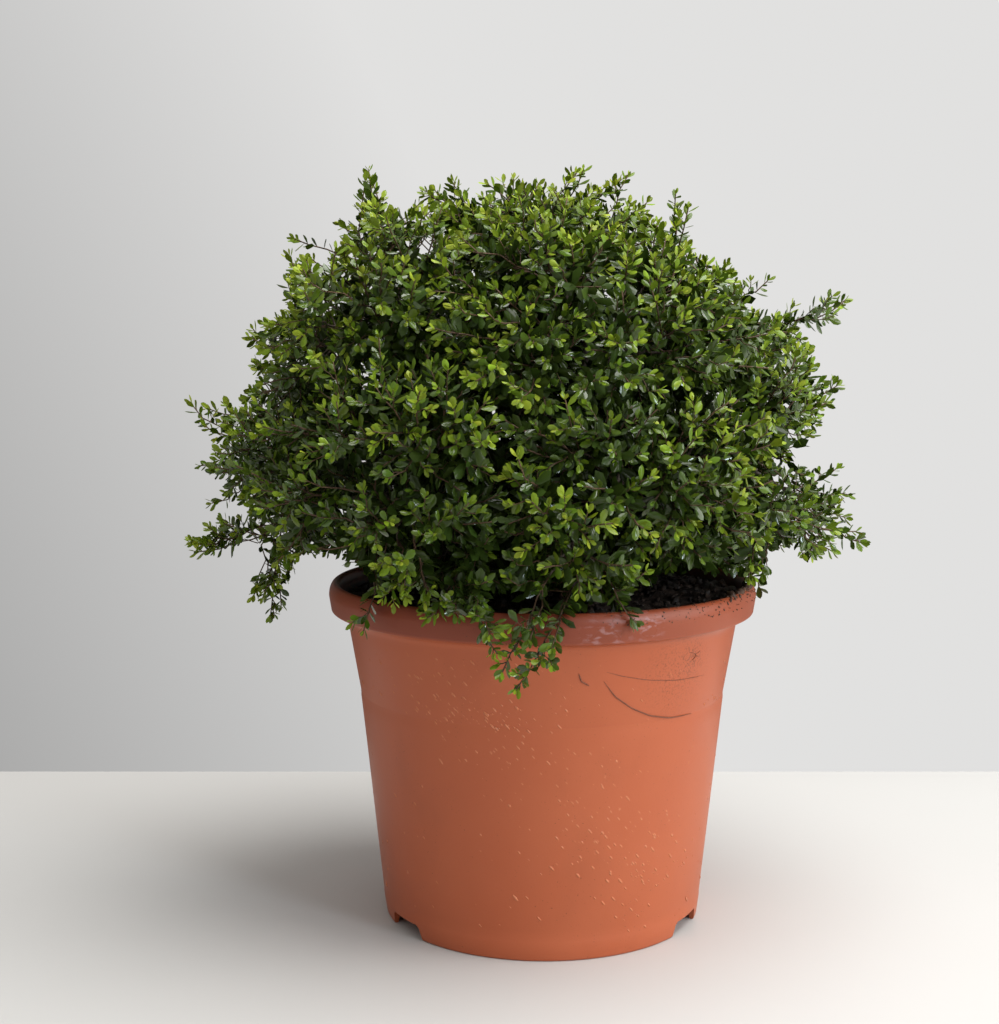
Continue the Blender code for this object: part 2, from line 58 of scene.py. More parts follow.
# Pot, as in the solids, with a finer rim
POT_HEIGHT = 0.218
RIM_RADIUS = 0.140
MOUTH_RADIUS = 0.132
HALF_RIM = (RIM_RADIUS - MOUTH_RADIUS) / 2
RIM_ROLL = 0.0085
RIM_LOWER_EDGE = 0.1995
RIM_TUCK = 0.0015
RIM_EDGE_ROUND = 0.0012
RIM_LIP_DEPTH, RIM_LIP_GAP = 0.0045, 0.0008
NECK_RADIUS, NECK_HEIGHT = 0.127, 0.190
BEND_RADIUS, BEND_HEIGHT = 0.1193, 0.147
FOOT_RADIUS = 0.103
FOOT_ROUND = 0.0016
WALL = 0.002
FLOOR_HEIGHT = 0.010
FOOT_RING_WIDTH = 0.003
FOOT_RING_DRAFT = 0.001
FOOT_RING_CHAMFER = 0.0004
MIDDLE_FOOT_RADIUS = 0.030
POT_STEPS, SHARP_FROM = 192, math.radians(35)
WALL_WAVE, WALL_WAVE_SCALE = 0.00025, 14.0  # how far the wall strays from a true cone
BEND_STEP, BEND_STEP_RUN, BEND_STEP_END = 0.0002, 0.0008, 0.004
BASE_BAND_HEIGHT, BASE_BAND_STEP, BASE_BAND_RUN = 0.0125, 0.00018, 0.0006
NOTCH_ANGLES = [math.radians(-28 + 120 * i) for i in range(3)]
NOTCH_WIDTH, NOTCH_TOP_WIDTH, NOTCH_HEIGHT, NOTCH_ROUND = 0.038, 0.031, 0.0092, 0.0012
DRAIN_RADIUS, DRAIN_CIRCLE, DRAIN_COUNT = 0.007, 0.074, 6
CUT_OVER, WALL_PROBE = 0.002, 0.002
SOILED_FROM = 0.203  # above it, the wall's inside is soiled
# Wet patches on the rim: they are glossier, and the pale streaks in them are painted highlights.
WET_AND_GLINT_PATCHES = (((0.034, -0.135, 0.202), 0.020), ((0.060, -0.127, 0.209), 0.014))  # places and sizes

# Soil
SOIL_EDGE, SOIL_MIDDLE = 0.206, 0.210
SOIL_RINGS, SOIL_STEPS = 64, 200
SOIL_ROUGHNESS, SOIL_LUMP_SCALE, SOIL_CLOD_SCALE = 0.0034, 110, 45
SOIL_HEAP, SOIL_HEAP_AT = 0.0045, math.radians(-25)  # it is higher against the wall there
SOIL_HEAP_FROM, CRUMBS_WITHIN, SOIL_CALM_FROM = 0.6, 0.97, 0.985  # on the way out to the wall
SOIL_CALM = 0.3  # how rough it is at the wall
CRUMB_ROUGHNESS, CRUMB_STRETCH, CRUMB_RISE = 0.35, (0.55, 1.2), 0.0006
SOIL_CRUMBS = ((1230, (0.0006, 0.0017), 1), (270, (0.0015, 0.0034), 2))  # count, sizes and fineness
RIM_SOIL = (  # count, degrees round the pot, degrees round the rim's roll, and sizes
    (420, (-78, -6), (0, 170), (0.00015, 0.00065)),
    (60, (-36, -6), (50, 170), (0.0005, 0.0016)),
    (110, (-32, -4), (85, 180), (0.0010, 0.0034)),
)

# Water drops on the pot's wall: a slanting band of them at the front, and some all round
DROPS_IN_BAND, DROPS_AROUND = 560, 380
DROP_BAND = ((-132, -89, -48), (0.170, 0.125, 0.042))  # degrees round the pot, and heights
DROP_BAND_SPREAD = 0.017
DROP_HEIGHTS, DROP_LIMITS = (0.02, 0.185), (0.015, 0.186)
DROP_SIZES, DROP_SMALLNESS = (0.00035, 0.0011), 2.2  # most of them are small
DROP_LENGTHS, DROP_WIDTH, DROP_RISE = (1.2, 2.6), 0.8, 0.45  # in a drop's sizes
DROP_SLANT = 0.9  # how far they run to the right as they run down

# Dark root threads that stick to the wet wall: radius, and places as degrees round the pot and heights
THREADS = (
    (0.00042, (
        (-74.6, 0.1757), (-70.7, 0.1650), (-65.0, 0.1566), (-58.6, 0.1505), (-50.6, 0.1468), (-40.5, 0.1462),
    )),
    (0.00022, ((-74.6, 0.1813), (-69.0, 0.1774), (-60.6, 0.1733), (-49.8, 0.1703), (-36.5, 0.1693))),
    (0.00050, ((-81.5, 0.1808), (-80.7, 0.1758), (-78.4, 0.1728))),
    (0.00024, ((-46.2, 0.1866), (-45.0, 0.1860), (-43.6, 0.1849), (-43.0, 0.1834), (-41.6, 0.1826))),
    (0.00018, ((-43.6, 0.1849), (-42.4, 0.1853), (-41.4, 0.1863))),
    (0.00020, ((-43.2, 0.1838), (-43.8, 0.1822), (-44.9, 0.1812))),
)
THREAD_STEPS, THREAD_SMOOTHING, THREAD_WAVER = 12, 11, 0.00008

# Trunk and boughs, as in the solids
TRUNK_FOOT = np.array((0.003, 0.004, 0.0))
TRUNK_LEAN = np.array((0.006, 0.004, 0.0))
TRUNK_HEIGHT, TRUNK_BURIED = 0.058, 0.003
TRUNK_RADIUS = 0.0085
TRUNK_TAPER = 0.12
TRUNK_FLARE, FLARE_HEIGHT = 0.0065, 0.008
TRUNK_RINGS, TRUNK_SIDES = 60, 36
BOUGH_RADIUS, BOUGH_TIP = 0.0037, 0.72
BOUGH_KNEE = 0.35  # of its length, where it turns from its own way up to its mass
BOUGH_STAGGER = 0.13  # of the trunk's height, from one bough to the next
BOUGH_RINGS, BOUGH_SIDES = 44, 18
BARK_RELIEF, BARK_SCALE, BARK_STRETCH = 0.0007, 420.0, 0.3

# Crown, as in the solids
CROWN_MIDDLE = np.array((0.0, 0.0, 0.300))
OUTLINE = (  # its reach from its middle, at equal angles from the right round over the top
    0.178, 0.190, 0.172, 0.174, 0.180, 0.186, 0.196, 0.206,
    0.222, 0.206, 0.160, 0.142, 0.142, 0.130, 0.160, 0.190,
)
FRONT_REACH, BACK_REACH = 0.186, 0.192
UNDERSIDE = POT_HEIGHT + 0.012  # over the pot. Outside it shoots may hang down
HANG_OUT = 0.006  # past its rim
Ring = collections.namedtuple(
    "Ring", "name layer count azimuth elevation distance bough_at steepness bough_share"
)
RINGS = (
    Ring("low", "lower", 6, -70, -6, 0.122, 0.26, 24, 0.38),
    Ring("high", "upper", 4, -75, 38, 0.118, 0.58, 46, 0.50),
    Ring("top", "upper", 1, 0, 90, 0.112, 0.90, 90, 0.50),
)
ASIDE = 0.03  # from the crown's middle, where a mass is named for its side

# Where the outline bulges or is set in: degrees round its middle, half a width in degrees, and millimetres
LOBES = (
    (-27, 6, -26), (-12, 7.5, 34), (0, 3, -32), (10, 6, 12), (25, 5, 5), (36, 4, -9), (44, 5, 7),
    (52, 4, -6), (60, 3, -5), (67, 4, 9), (86, 4, 6), (97, 5, 6), (106, 3, -10), (125, 4, 16), (150, 4, -5),
    (158, 3, 6), (163, 3, -11), (169, 3, -4), (181, 4, 5), (188, 5, 5), (199, 4, -10), (209, 7, -45),
)
LOBE_DEPTH = 0.45  # how far a lobe reaches to the front and the back, as a share of the unit sphere

# Sprigs that stand out: across and up at their foot and at their tip, in millimetres, and how many shoots
SPRIGS = (
    (-115, 452, -114.5, 488, 8), (-150, 412, -161, 441, 7), (-150, 405, -165, 418, 4),
    (-118, 430, -131, 450, 5), (-64, 460, -58, 480, 6), (-73, 462, -76, 472, 3), (-23, 468, -26, 480, 4),
    (20, 474, 26, 485, 4), (34, 466, 57, 484, 8), (81, 448, 86, 470, 6), (118, 410, 124, 420, 3),
    (130, 402, 146, 414, 4), (189, 390, 200, 400, 4), (187, 392, 188, 404, 2), (160, 382, 167, 398, 4),
    (180, 340, 192, 346, 3), (180, 284, 197, 290, 4), (190, 254, 209, 243, 5), (192, 268, 206, 272, 4),
    (165, 246, 180, 235, 3), (-216, 316, -233, 333, 5), (-211, 246, -230, 243, 15),
    (-176, 226, -193, 204, 9), (-170, 222, -178, 195, 9), (-158, 240, -166, 222, 5),
    (150, 240, 142, 212, 3), (-180, 368, -192, 376, 3), (-152, 250, -141, 237, 5),
    (-132, 250, -121, 236, 5), (105, 245, 110, 226, 5), (118, 245, 124, 226, 6), (134, 245, 137, 226, 5),
)
SPRIG_DEPTH, SPRIG_ASIDE = 0.012, 0.005  # out of the outline's plane, and from one shoot to another

# Where the sky or the soil shows through: across, up and a radius, in tenths of a millimetre
GAPS = np.array((
    (-756, 4377, 50), (1677, 3036, 33), (1558, 2944, 26), (1604, 2786, 20), (1545, 2852, 20),
    (1788, 2629, 20), (1690, 2563, 20), (1762, 2458, 20), (1880, 2504, 20), (1670, 3135, 25),
    (1447, 3069, 18), (1631, 3332, 24), (1696, 2760, 20), (-1453, 4318, 50), (-1880, 2497, 22),
    (-1729, 2484, 20), (-1808, 2392, 25), (-1506, 2418, 20), (-1407, 2379, 20), (-1808, 3437, 26),
    (-1788, 3648, 20), (-1532, 2221, 90), (-1447, 2201, 100), (-1348, 2162, 100), (-1243, 2129, 100),
    (-1940, 2398, 60), (-1900, 2293, 60), (-1841, 2247, 40), (1571, 2280, 80), (1683, 2260, 50),
    (697, 2050, 80), (842, 2089, 100), (999, 2129, 100), (1118, 2122, 70), (-59, 2004, 45), (79, 2030, 55),
)) / 10000
TIP_MARGIN = 0.4  # of the shoots' tips round a gap, as a share of it

# Dark hollows at the front, or bright lumps: across, up and a radius, in millimetres, and a strength
HOLLOWS = np.array((
    (-8, 420, 13, 1.3), (17, 412, 13, 1.8), (38, 403, 16, 2.2), (-85, 369, 12, 2), (-10, 382, 8, 1.4),
    (12, 361, 12, 2), (74, 363, 13, 1.4), (-41, 339, 14, 1.4), (-159, 336, 18, 1), (-166, 310, 13, 1),
    (-126, 303, 11, 1.9), (-16, 408, 9, 1.5), (140, 372, 9, 1.4), (-199, 303, 13, 1), (2, 350, 9, 1),
    (42, 313, 10, 1.6), (-136, 317, 11, 1.5), (-103, 260, 21, 1.5), (-85, 291, 14, 1.8), (32, 300, 16, 2),
    (91, 319, 13, 1.8), (126, 348, 10, 1.4), (-146, 264, 11, 1.1), (-44, 240, 21, 2), (-11, 211, 13, 1.9),
    (-57, 212, 12, 1.6), (118, 225, 12, 1.3), (-37, 196, 9, 1.3), (57, 190, 12, 3), (102, 233, 8, 1.2),
    (59, 333, 14, 1.5), (-57, 411, 9, 2.2), (30, 352, 9, 1.3), (-18, 252, 10, 2.2), (-67, 272, 11, 1.2),
    (-96, 449, 13, -2.2), (-134, 407, 18, -3.4), (-84, 344, 12, -1), (7, 254, 12, -2.2),
    (-77, 312, 9, -1.4), (76, 233, 13, -3), (-49, 382, 13, -2.2), (83, 352, 9, -1.8), (122, 308, 11, -1),
    (-176, 253, 9, -1), (-118, 221, 12, -1.4), (-37, 439, 10, -1.8), (-78, 233, 11, -3), (141, 311, 9, -2),
    (41, 254, 8, -1.2),
)) / (1000, 1000, 1000, 1)
HOLLOW_IN = 0.008  # how far a hollow of strength 1 draws its shoots in
# Painted shade: sprays in a hollow are dealt darker tints, and those on a bright lump lighter ones as painted
# light.
HOLLOW_SHADE_TINTS = 1.0  # how many tints darker its sprays are

# Shoot tips: an outer coat, a second one behind it, and some in the depth of the crown
COATS = ((2450, 0.000, 0.026, 2), (1750, 0.020, 0.024, 1))  # count, least depth, how much more, and its power
INNER_TIPS = 2350
INNER_REACH = (0.35, 0.86)
TIP_JITTER = 0.45  # of the distance between tips
BILLOWS = ((3.3, 0.010), (8.0, 0.007))  # lumps of the crown's surface, as a frequency and a height
HOLLOW_DEPTH, HOLLOW_SCALE, HOLLOW_FROM = 0.045, 5.5, 0.08  # of the gaps between the billows
LEAF_BEYOND = 0.004  # how far leaves reach past the tip of their shoot
LEAST_REACH = 0.07
STRAGGLERS = 46  # shoots that stand a little out of the sides and the back
STRAGGLER_OUT = (0.004, 0.014)

# Shoots that hang down, and those of the sprig at the front: azimuth, distance from the pot's axis and height
HANGING_SHOOTS = (
    (-94, 0.163, 0.188), (-135, 0.154, 0.199), (-138, 0.156, 0.203), (75, 0.160, 0.200), (142, 0.160, 0.202),
)
HANGING_COMPANIONS = 5
COMPANION_BACK, COMPANION_ASIDE = (0.006, 0.030), 0.010
FRONT_SPRIG = (
    (-96.5, 0.165, 0.176), (-99.5, 0.163, 0.184), (-101.5, 0.161, 0.195), (-96.5, 0.163, 0.185),
    (-98.5, 0.160, 0.193), (-89.5, 0.163, 0.199), (-89.5, 0.165, 0.190), (-92, 0.164, 0.192),
    (-94, 0.160, 0.202), (-99.5, 0.158, 0.204), (-96.5, 0.161, 0.197), (-101, 0.160, 0.209),
    (-97.5, 0.162, 0.211), (-102, 0.160, 0.206), (-100, 0.162, 0.190),
)
FRINGES = (  # boxes of shoots: count, and the least and the most of the same three
    (28, (-127, 0.147, 0.212), (-101, 0.164, 0.230)),  # over the rim, left of the front
    (34, (-88, 0.096, 0.214), (-60, 0.127, 0.236)),  # behind the rim, right of the front
    (3, (-70.5, 0.143, 0.205), (-68.5, 0.147, 0.216)),  # over the rim there
    (3, (-70, 0.120, 0.226), (-66, 0.134, 0.238)),  # their feet
    (70, (162, 0.150, 0.255), (200, 0.198, 0.345)),  # the dense left side
)

# Twigs
FORK_AT = 0.25
SPRAY = 5  # at most this many tips make one spray
SIDE_SHOOT_RANGE = (0.12, 0.88)  # of the leading shoot, where side shoots leave it
TWIG_RADIUS, TWIG_THICKENING, TWIG_TAPER = 0.00042, 0.28, 0.25
TWIG_RINGS = 5
TWIG_SIDES = {"old": 6, "young": 3}
TWIG_CLEARANCE = 0.0015  # of twigs from the pot's rim
TWIG_BEND, TWIG_BEND_FROM = 0.0012, 0.02  # how much a twig of some length wavers
TURN_UP = 0.30  # how far the ends of shoots turn up to the light
OLD_TWIG = 7  # a twig that bears more tips than this is grey, and a thinner one brown

# Leaves
LEAF_LENGTH = 0.0089
LEAF_ASPECT = 0.48
LENGTH_RANGE = (0.66, 1.18)
END_LEAF = 0.60  # length of the smallest leaf, at a shoot's tip
FULL_AT = 0.006  # from the tip, where leaves are full-grown
LEAF_TURN = math.radians(137.5)
TIP_SPREAD, SIDE_SPREAD = math.radians(20), math.radians(54)
LEAF_PACE, LEAF_PACE_GROWTH, LEAF_SPACING = 0.0006, 0.0005, 0.0022
BARE_FOOT = 0.002  # of a shoot
LEAFY_COUNT = 14  # twigs that bear up to this many tips still have some old leaves
OLD_LEAF_SPACING = 0.0055
TO_LIGHT, LIGHT_FROM_OUTSIDE = 0.34, 0.8
LEAF_UNREST = 0.33  # how far leaves are turned out of order
TURN_UNREST = 0.2
WIDTH_RANGE, SPREAD_RANGE, BEND_RANGE = (0.88, 1.12), (0.75, 1.25), (0.5, 1.5)
NO_TWIG_WAY = (0.31, 0.27, 0.91)  # a way that hardly any twig runs along
LEAF_CLEARANCE = 0.0008
LEAF_PROBES = (0.4, 0.7, 1.0)  # where along a leaf its clearance is tested
LEAF_STATIONS = ((0.24, 0.55), (0.56, 1.0), (0.84, 0.72))  # along it, and share of its half width
DEEP_LEAF_STATIONS = ((0.22, 0.62), (0.70, 0.96))
LEAF_CROWN, LEAF_DROOP = 0.16, 0.10  # how far its edges lie under its midrib, and its tip under its foot

# Tints and gloss of the leaves, from the youngest at the tips to the oldest inside. Deeper sprays are dealt
# darker tints too, as painted shade
TINTS = {
    "young": ((0.275, 0.345, 0.030), 0.2),
    "light": ((0.180, 0.258, 0.016), 0.35),
    "mid": ((0.098, 0.160, 0.010), 0.65),
    "dark": ((0.053, 0.092, 0.009), 1.0),
    "deep": ((0.034, 0.060, 0.008), 0.4),
}
TINT_STEP = 3.2  # leaves along a shoot from one tint to the next
SPRAY_AGES, SHOOT_AGES, LEAF_AGES = 1.6, (-0.3, 0.3), (-0.25, 0.45)  # how far each differs, in tints
SHADE_DEPTH = 0.017  # inside the envelope, where a spray's leaves are one tint darker
# Painted light: sprays that lie towards the sunny side are dealt lighter tints, by up to this many.
SUNNY_SIDE, SUNNY_LIGHTENING = (-0.35, -0.1, 1.0), 0.95  # where sprays are younger, and by how much
OLD_LEAF_AGE = 2.6  # in tints
DEEP_WITHIN = 0.165  # of the crown's middle, where the oldest tint is found
DEEP_LEAF = 1.4  # size of those leaves against the others

# Camera, fitted to the pot's ellipses in the picture. The pot's axis lies right of its middle
IMAGE_WIDTH, IMAGE_HEIGHT = 999, 1024
FOCAL_PIXELS = 1624.3
PRINCIPAL_ROW = 412.4
POT_COLUMN = 542
CAMERA_BACK, CAMERA_HEIGHT = 1.068, 0.381
CAMERA_ASIDE = (IMAGE_WIDTH / 2 - POT_COLUMN) / FOCAL_PIXELS * CAMERA_BACK
CAMERA_PITCH = math.radians(2.85)
SENSOR = 36.0

# Studio
FLOOR_SIZE, FLOOR_BACK = 3.0, 0.323
ROOM = (  # its light, and its wall as the camera sees it: a way, least and most along it, how bright, colour
    ((0.50, -0.25, 0.83), (-0.4, 1.0), (0.15, 0.72), (1.0, 0.99, 0.97)),
    ((1.0, 0.0, 0.5), (-0.45, 0.0), (0.38, 0.755), (1.0, 0.995, 0.985)),
)
LIGHTS = (  # name, place, height of its target on the pot's axis, size, power and colour
    ("key", (1.6, -0.45, 0.75), 0.18, 1.3, 13.0, (1.0, 0.99, 0.97)),
    ("window", (1.25, -1.35, 0.75), 0.25, 0.42, 10.0, (0.76, 0.89, 1.0)),
    ("top", (0.40, -0.20, 1.8), 0.3, 1.6, 35.5, (0.99, 0.98, 0.97)),
)


# Meshes


def unit(vectors):
    """Vectors scaled to length 1."""
    vectors = np.asarray(vectors, float)
    return vectors / np.maximum(norm(vectors, axis=-1, keepdims=True), 1e-12)


def round_axis(radii, angles, heights):
    """Points by their distance from the pot's axis, their angle round it and their height."""
    x, y = radii * np.cos(angles), radii * np.sin(angles)
    return np.stack(np.broadcast_arrays(x, y, heights), axis=-1)


def linked(name, data):
    """A new object in the scene."""
    obj = bpy.data.objects.new(name, data)
    bpy.context.scene.collection.objects.link(obj)
    return obj


def piece(name, finish, parts, nodes=()):
    """A piece of the plant or the pot, joined from parts that are each points and triangles."""
    mesh = bpy.data.meshes.new(name)
    starts = np.cumsum([0] + [len(points) for points, _ in parts])
    faces = np.concatenate([faces + start for (_, faces), start in zip(parts, starts)])
    mesh.from_pydata(np.concatenate([points for points, _ in parts]), [], faces, shade_flat=False)
    mesh.validate()
    mesh.materials.append(finish)
    obj = linked(name, mesh)
    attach(obj, "root")
    if nodes:
        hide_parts(*nodes)
    return obj


@functools.lru_cache
def tube_faces(rings, sides):
    """Triangles of a closed tube. Its last two points are the middles of its ends."""
    faces = []
    start, end = rings * sides, rings * sides + 1
    for j in range(sides):
        k = (j + 1) % sides
        faces.append((start, k, j))
        for i in range(rings - 1):
            a, b, c, d = i * sides + j, i * sides + k, (i + 1) * sides + k, (i + 1) * sides + j
            faces += [(a, b, c), (a, c, d)]
        faces.append((end, (rings - 1) * sides + j, (rings - 1) * sides + k))
    return np.array(faces)


def tube(line, radii, sides):
    """A closed tube round a line of points. The radii are one for each point, or one for each side too."""
    line = np.asarray(line, float)
    steps = np.diff(line, axis=0)
    along = unit(np.vstack([steps[:1], steps[:-1] + steps[1:], steps[-1:]]))
    radii = np.asarray(radii, float)
    radii = np.repeat(radii[:, None], sides, axis=1) if radii.ndim == 1 else radii
    angles = np.arange(sides) * math.tau / sides
    side = np.cross(along[0], UP if abs(along[0][2]) < 0.9 else (1.0, 0.0, 0.0))
    points = []
    for middle, way, ring_radii in zip(line, along, radii):
        side = unit(side - way * side.dot(way))
        other = np.cross(way, side)
        ring = np.outer(np.cos(angles), side) + np.outer(np.sin(angles), other)
        points.append(middle + ring * ring_radii[:, None])
    points += [line[:1], line[-1:]]
    return np.concatenate(points), tube_faces(len(line), sides)


def lathe(profile, steps):
    """A profile of (radius, height) points that starts and ends on the axis, turned round it."""
    rings = np.array(profile[1:-1])
    points = round_axis(rings[:, :1], np.arange(steps) * math.tau / steps, rings[:, 1:])
    poles = [(0.0, 0.0, profile[0][1]), (0.0, 0.0, profile[-1][1])]
    return np.concatenate([points.reshape(-1, 3), poles]), tube_faces(len(rings), steps)[:, ::-1]


def curve(start, start_way, end, end_way, count):
    """Points on a smooth curve that leaves start along one vector and reaches end along another."""
    t = np.linspace(0, 1, count)[:, None]
    from_start = (2 * t**3 - 3 * t**2 + 1) * start + (t**3 - 2 * t**2 + t) * start_way
    return from_start + (3 * t**2 - 2 * t**3) * end + (t**3 - t**2) * end_way


def stamp(points, faces, origins, frames):
    """Copies of a small mesh. Each has an origin, and three rows that its X, Y and Z axes become."""
    copies = origins[:, None, :] + np.einsum("pk,nkd->npd", points, frames)
    offsets = np.arange(len(origins))[:, None, None] * len(points)
    return copies.reshape(-1, 3), (faces[None] + offsets).reshape(-1, 3)


# Materials


class Nodes:
    """The shader nodes of one tree."""

    def __init__(self, tree):
        self.tree = tree

    def node(self, kind, inputs=None, **settings):
        """A new node, whose inputs get constants or other nodes' outputs."""
        made = self.tree.nodes.new("ShaderNode" + kind)
        for name, value in settings.items():
            setattr(made, name, value)
        for name, value in (inputs or {}).items():
            if isinstance(value, bpy.types.NodeSocket):
                self.tree.links.new(value, made.inputs[name])
            else:
                made.inputs[name].default_value = value
        return made

    def remap(self, value, from_low, from_high, low=0.0, high=1.0):
        inputs = {"Value": value, "From Min": from_low, "From Max": from_high, "To Min": low, "To Max": high}
        return self.node("MapRange", inputs).outputs["Result"]

    def maths(self, operation, one, other):
        return self.node("Math", {0: one, 1: other}, operation=operation).outputs[0]

    def times(self, one, other):
        return self.maths("MULTIPLY", one, other)

    def vector(self, operation, output, *values):
        return self.node("VectorMath", dict(enumerate(values)), operation=operation).outputs[output]


class Finish(Nodes):
    """A material on the Principled shader. Constants go straight to its sockets."""

    def __init__(self, name, colour, roughness, **constants):
        self.material = bpy.data.materials.new(name)
        self.material.use_nodes = True
        super().__init__(self.material.node_tree)
        self.shader = self.tree.nodes["Principled BSDF"]
        self.shader.inputs["Base Color"].default_value = (*colour, 1.0)
        self.shader.inputs["Roughness"].default_value = roughness
        for socket, value in constants.items():
            self.shader.inputs[socket.replace("_", " ")].default_value = value
        self.place = self.node("TexCoord").outputs["Object"]

    def link(self, output, socket="Base Color"):
        self.tree.links.new(output, self.shader.inputs[socket])

    def noise(self, scale, detail=3.0, stretch=(1.0, 1.0, 1.0)):
        place = self.node("Mapping", {"Vector": self.place, "Scale": stretch}).outputs["Vector"]
        return self.node("TexNoise", {"Vector": place, "Scale": scale, "Detail": detail}).outputs["Fac"]

    def mix(self, factor, *colours):
        one, other = (c if isinstance(c, bpy.types.NodeSocket) else (*c, 1.0) for c in colours)
        return self.node("Mix", {0: factor, 6: one, 7: other}, data_type="RGBA").outputs[2]

    def bump(self, height, distance, strength=1.0):
        made = self.node("Bump", {"Height": height, "Distance": distance, "Strength": strength})
        self.link(made.outputs["Normal"], "Normal")

    def near(self, point, radius):
        """1 at a point, falling to 0 at a distance from it."""
        return self.remap(self.vector("DISTANCE", "Value", self.place, point), radius, 0.0)


def mottled(name, colour, roughness, scale, one, other, detail=3.0, **constants):
    """A finish of two tints, mixed by noise."""
    finish = Finish(name, colour, roughness, **constants)
    finish.link(finish.mix(finish.noise(scale, detail), one, other))
    return finish.material


def leaf_finish(name, colour, gloss):
    """Glossy leaf, each one a little different from the next."""
    finish = Finish(name, colour, 0.45, Coat_Weight=gloss, Coat_Roughness=0.08, Specular_IOR_Level=0.1)
    own = finish.node("NewGeometry").outputs["Random Per Island"]
    other = finish.maths("FRACT", finish.times(own, 7.0), 0.0)
    mottle = finish.noise(260.0, 2.0)
    veined = finish.mix(finish.remap(mottle, 0.35, 0.65, 0.0, 0.35), colour, [c * 0.72 for c in colour])
    hue, value = finish.remap(other, 0.0, 1.0, 0.488, 0.512), finish.remap(own, 0.0, 1.0, 0.72, 1.28)
    inputs = {"Color": veined, "Hue": hue, "Value": value}
    finish.link(finish.node("HueSaturation", inputs).outputs["Color"])
    finish.link(finish.remap(mottle, 0.3, 0.7, 0.38, 0.52), "Roughness")
    finish.bump(finish.noise(700.0, 2.0), 0.0002, 0.5)
    return finish.material


def twig_finish(name, colour, pale):
    finish = Finish(name, colour, 0.7)
    grain = finish.noise(500.0, 4.0)
    finish.link(finish.mix(finish.remap(grain, 0.4, 0.7), colour, pale))
    finish.bump(grain, 0.0003, 0.7)
    return finish.material


def bark_finish():
    """Grey-brown bark with pale lichen-like patches and dark furrows."""
    dark, mid, pale = (0.050, 0.035, 0.024), (0.115, 0.082, 0.055), (0.220, 0.190, 0.150)
    finish = Finish("bark", mid, 0.85)
    furrows = finish.noise(420.0, 5.0, stretch=(1.0, 1.0, 0.3))
    base = finish.mix(finish.remap(furrows, 0.35, 0.6), dark, mid)
    finish.link(finish.mix(finish.remap(finish.noise(90.0), 0.55, 0.72, 0.0, 0.8), base, pale))
    finish.bump(furrows, 0.0008)
    return finish.material


def soil_finish(name, dark, brown, pale):
    finish = Finish(name, dark, 0.9)
    lumps = finish.noise(160.0, 5.0)
    fibres = finish.noise(700.0, stretch=(1.0, 0.35, 1.0))
    base = finish.mix(finish.remap(lumps, 0.4, 0.65), dark, brown)
    finish.link(finish.mix(finish.remap(fibres, 0.66, 0.74, 0.0, 0.7), base, pale))
    finish.link(finish.remap(lumps, 0.35, 0.65, 0.55, 0.95), "Roughness")
    finish.bump(fibres, 0.0006)
    return finish.material


def pot_finish():
    """Satin moulded plastic in terracotta, soiled below the rim, darker on the rim where it is damp and in
    painted shade, and wet in patches that hold painted highlights.
    """
    colour, worn, soiled = (0.443, 0.098, 0.034), (0.498, 0.129, 0.052), (0.120, 0.036, 0.014)
    damp_and_shade, painted_glint, earth = (0.238, 0.047, 0.019), (0.46, 0.27, 0.27), (0.030, 0.014, 0.008)
    finish = Finish("terracotta_plastic", colour, 0.42, Specular_IOR_Level=0.38)
    times, remap, mix = finish.times, finish.remap, finish.mix
    clouds = finish.noise(9.0, 4.0)
    streaks = finish.noise(24.0, 5.0, stretch=(1.0, 1.0, 0.6))
    fine = finish.noise(800.0, 4.0)
    base = mix(remap(clouds, 0.35, 0.7, 0.0, 0.6), colour, worn)
    base = mix(remap(streaks, 0.55, 0.80, 0.0, 0.16), base, soiled)

    dirt = finish.near(wall_place(-44, 0.1835), 0.013)
    smear = finish.near(wall_place(-50, 0.176), 0.034)
    specks = times(remap(fine, 0.68, 0.72), remap(streaks, 0.45, 0.6, 0.1, 0.9))
    soiling = finish.maths("ADD", times(dirt, 0.5), times(smear, 0.5))
    soiling = finish.maths("ADD", times(soiling, remap(fine, 0.50, 0.62)), specks)

    height = finish.node("SeparateXYZ", {"Vector": finish.place}).outputs["Z"]
    rim = remap(height, RIM_LOWER_EDGE - 0.004, RIM_LOWER_EDGE + 0.002)
    # The rim is darkened, most at the front left: partly its damp colour, partly painted shade from the
    # foliage over it.
    front_left = finish.near((-0.04, -RIM_RADIUS, RIM_LOWER_EDGE), 0.16)
    base = mix(times(rim, remap(front_left, 0.0, 0.6, 0.6, 1.0)), base, damp_and_shade)
    # In the wet patches the rim is smoother, and pale lilac streaks are painted highlights of a window on the
    # water.
    wet = finish.maths("MAXIMUM", *(finish.near(place, size) for place, size in WET_AND_GLINT_PATCHES))
    wet = times(wet, rim)
    glint_swirls = remap(finish.noise(420.0, stretch=(0.4, 1.0, 1.0)), 0.52, 0.64)
    base = mix(times(times(wet, glint_swirls), 0.6), base, painted_glint)

    flat = finish.vector("MULTIPLY", "Vector", finish.place, (1.0, 1.0, 0.0))
    out = finish.vector("LENGTH", "Value", flat)
    patchy = remap(finish.noise(150.0, 4.0), 0.2, 0.55, 0.5, 1.0)
    inside = times(remap(out, MOUTH_RADIUS + 0.0015, MOUTH_RADIUS - 0.0005), patchy)
    base = mix(times(inside, remap(height, SOILED_FROM - 0.001, SOILED_FROM)), base, earth)
    finish.link(mix(finish.maths("MINIMUM", soiling, 0.65), base, soiled))
    rough = remap(clouds, 0.35, 0.65, 0.34, 0.50)
    finish.link(finish.maths("SUBTRACT", rough, times(wet, 0.25)), "Roughness")
    finish.bump(finish.noise(900.0, 2.0), 0.0001, 0.4)
    return finish.material


# Pot, soil and what sticks to them


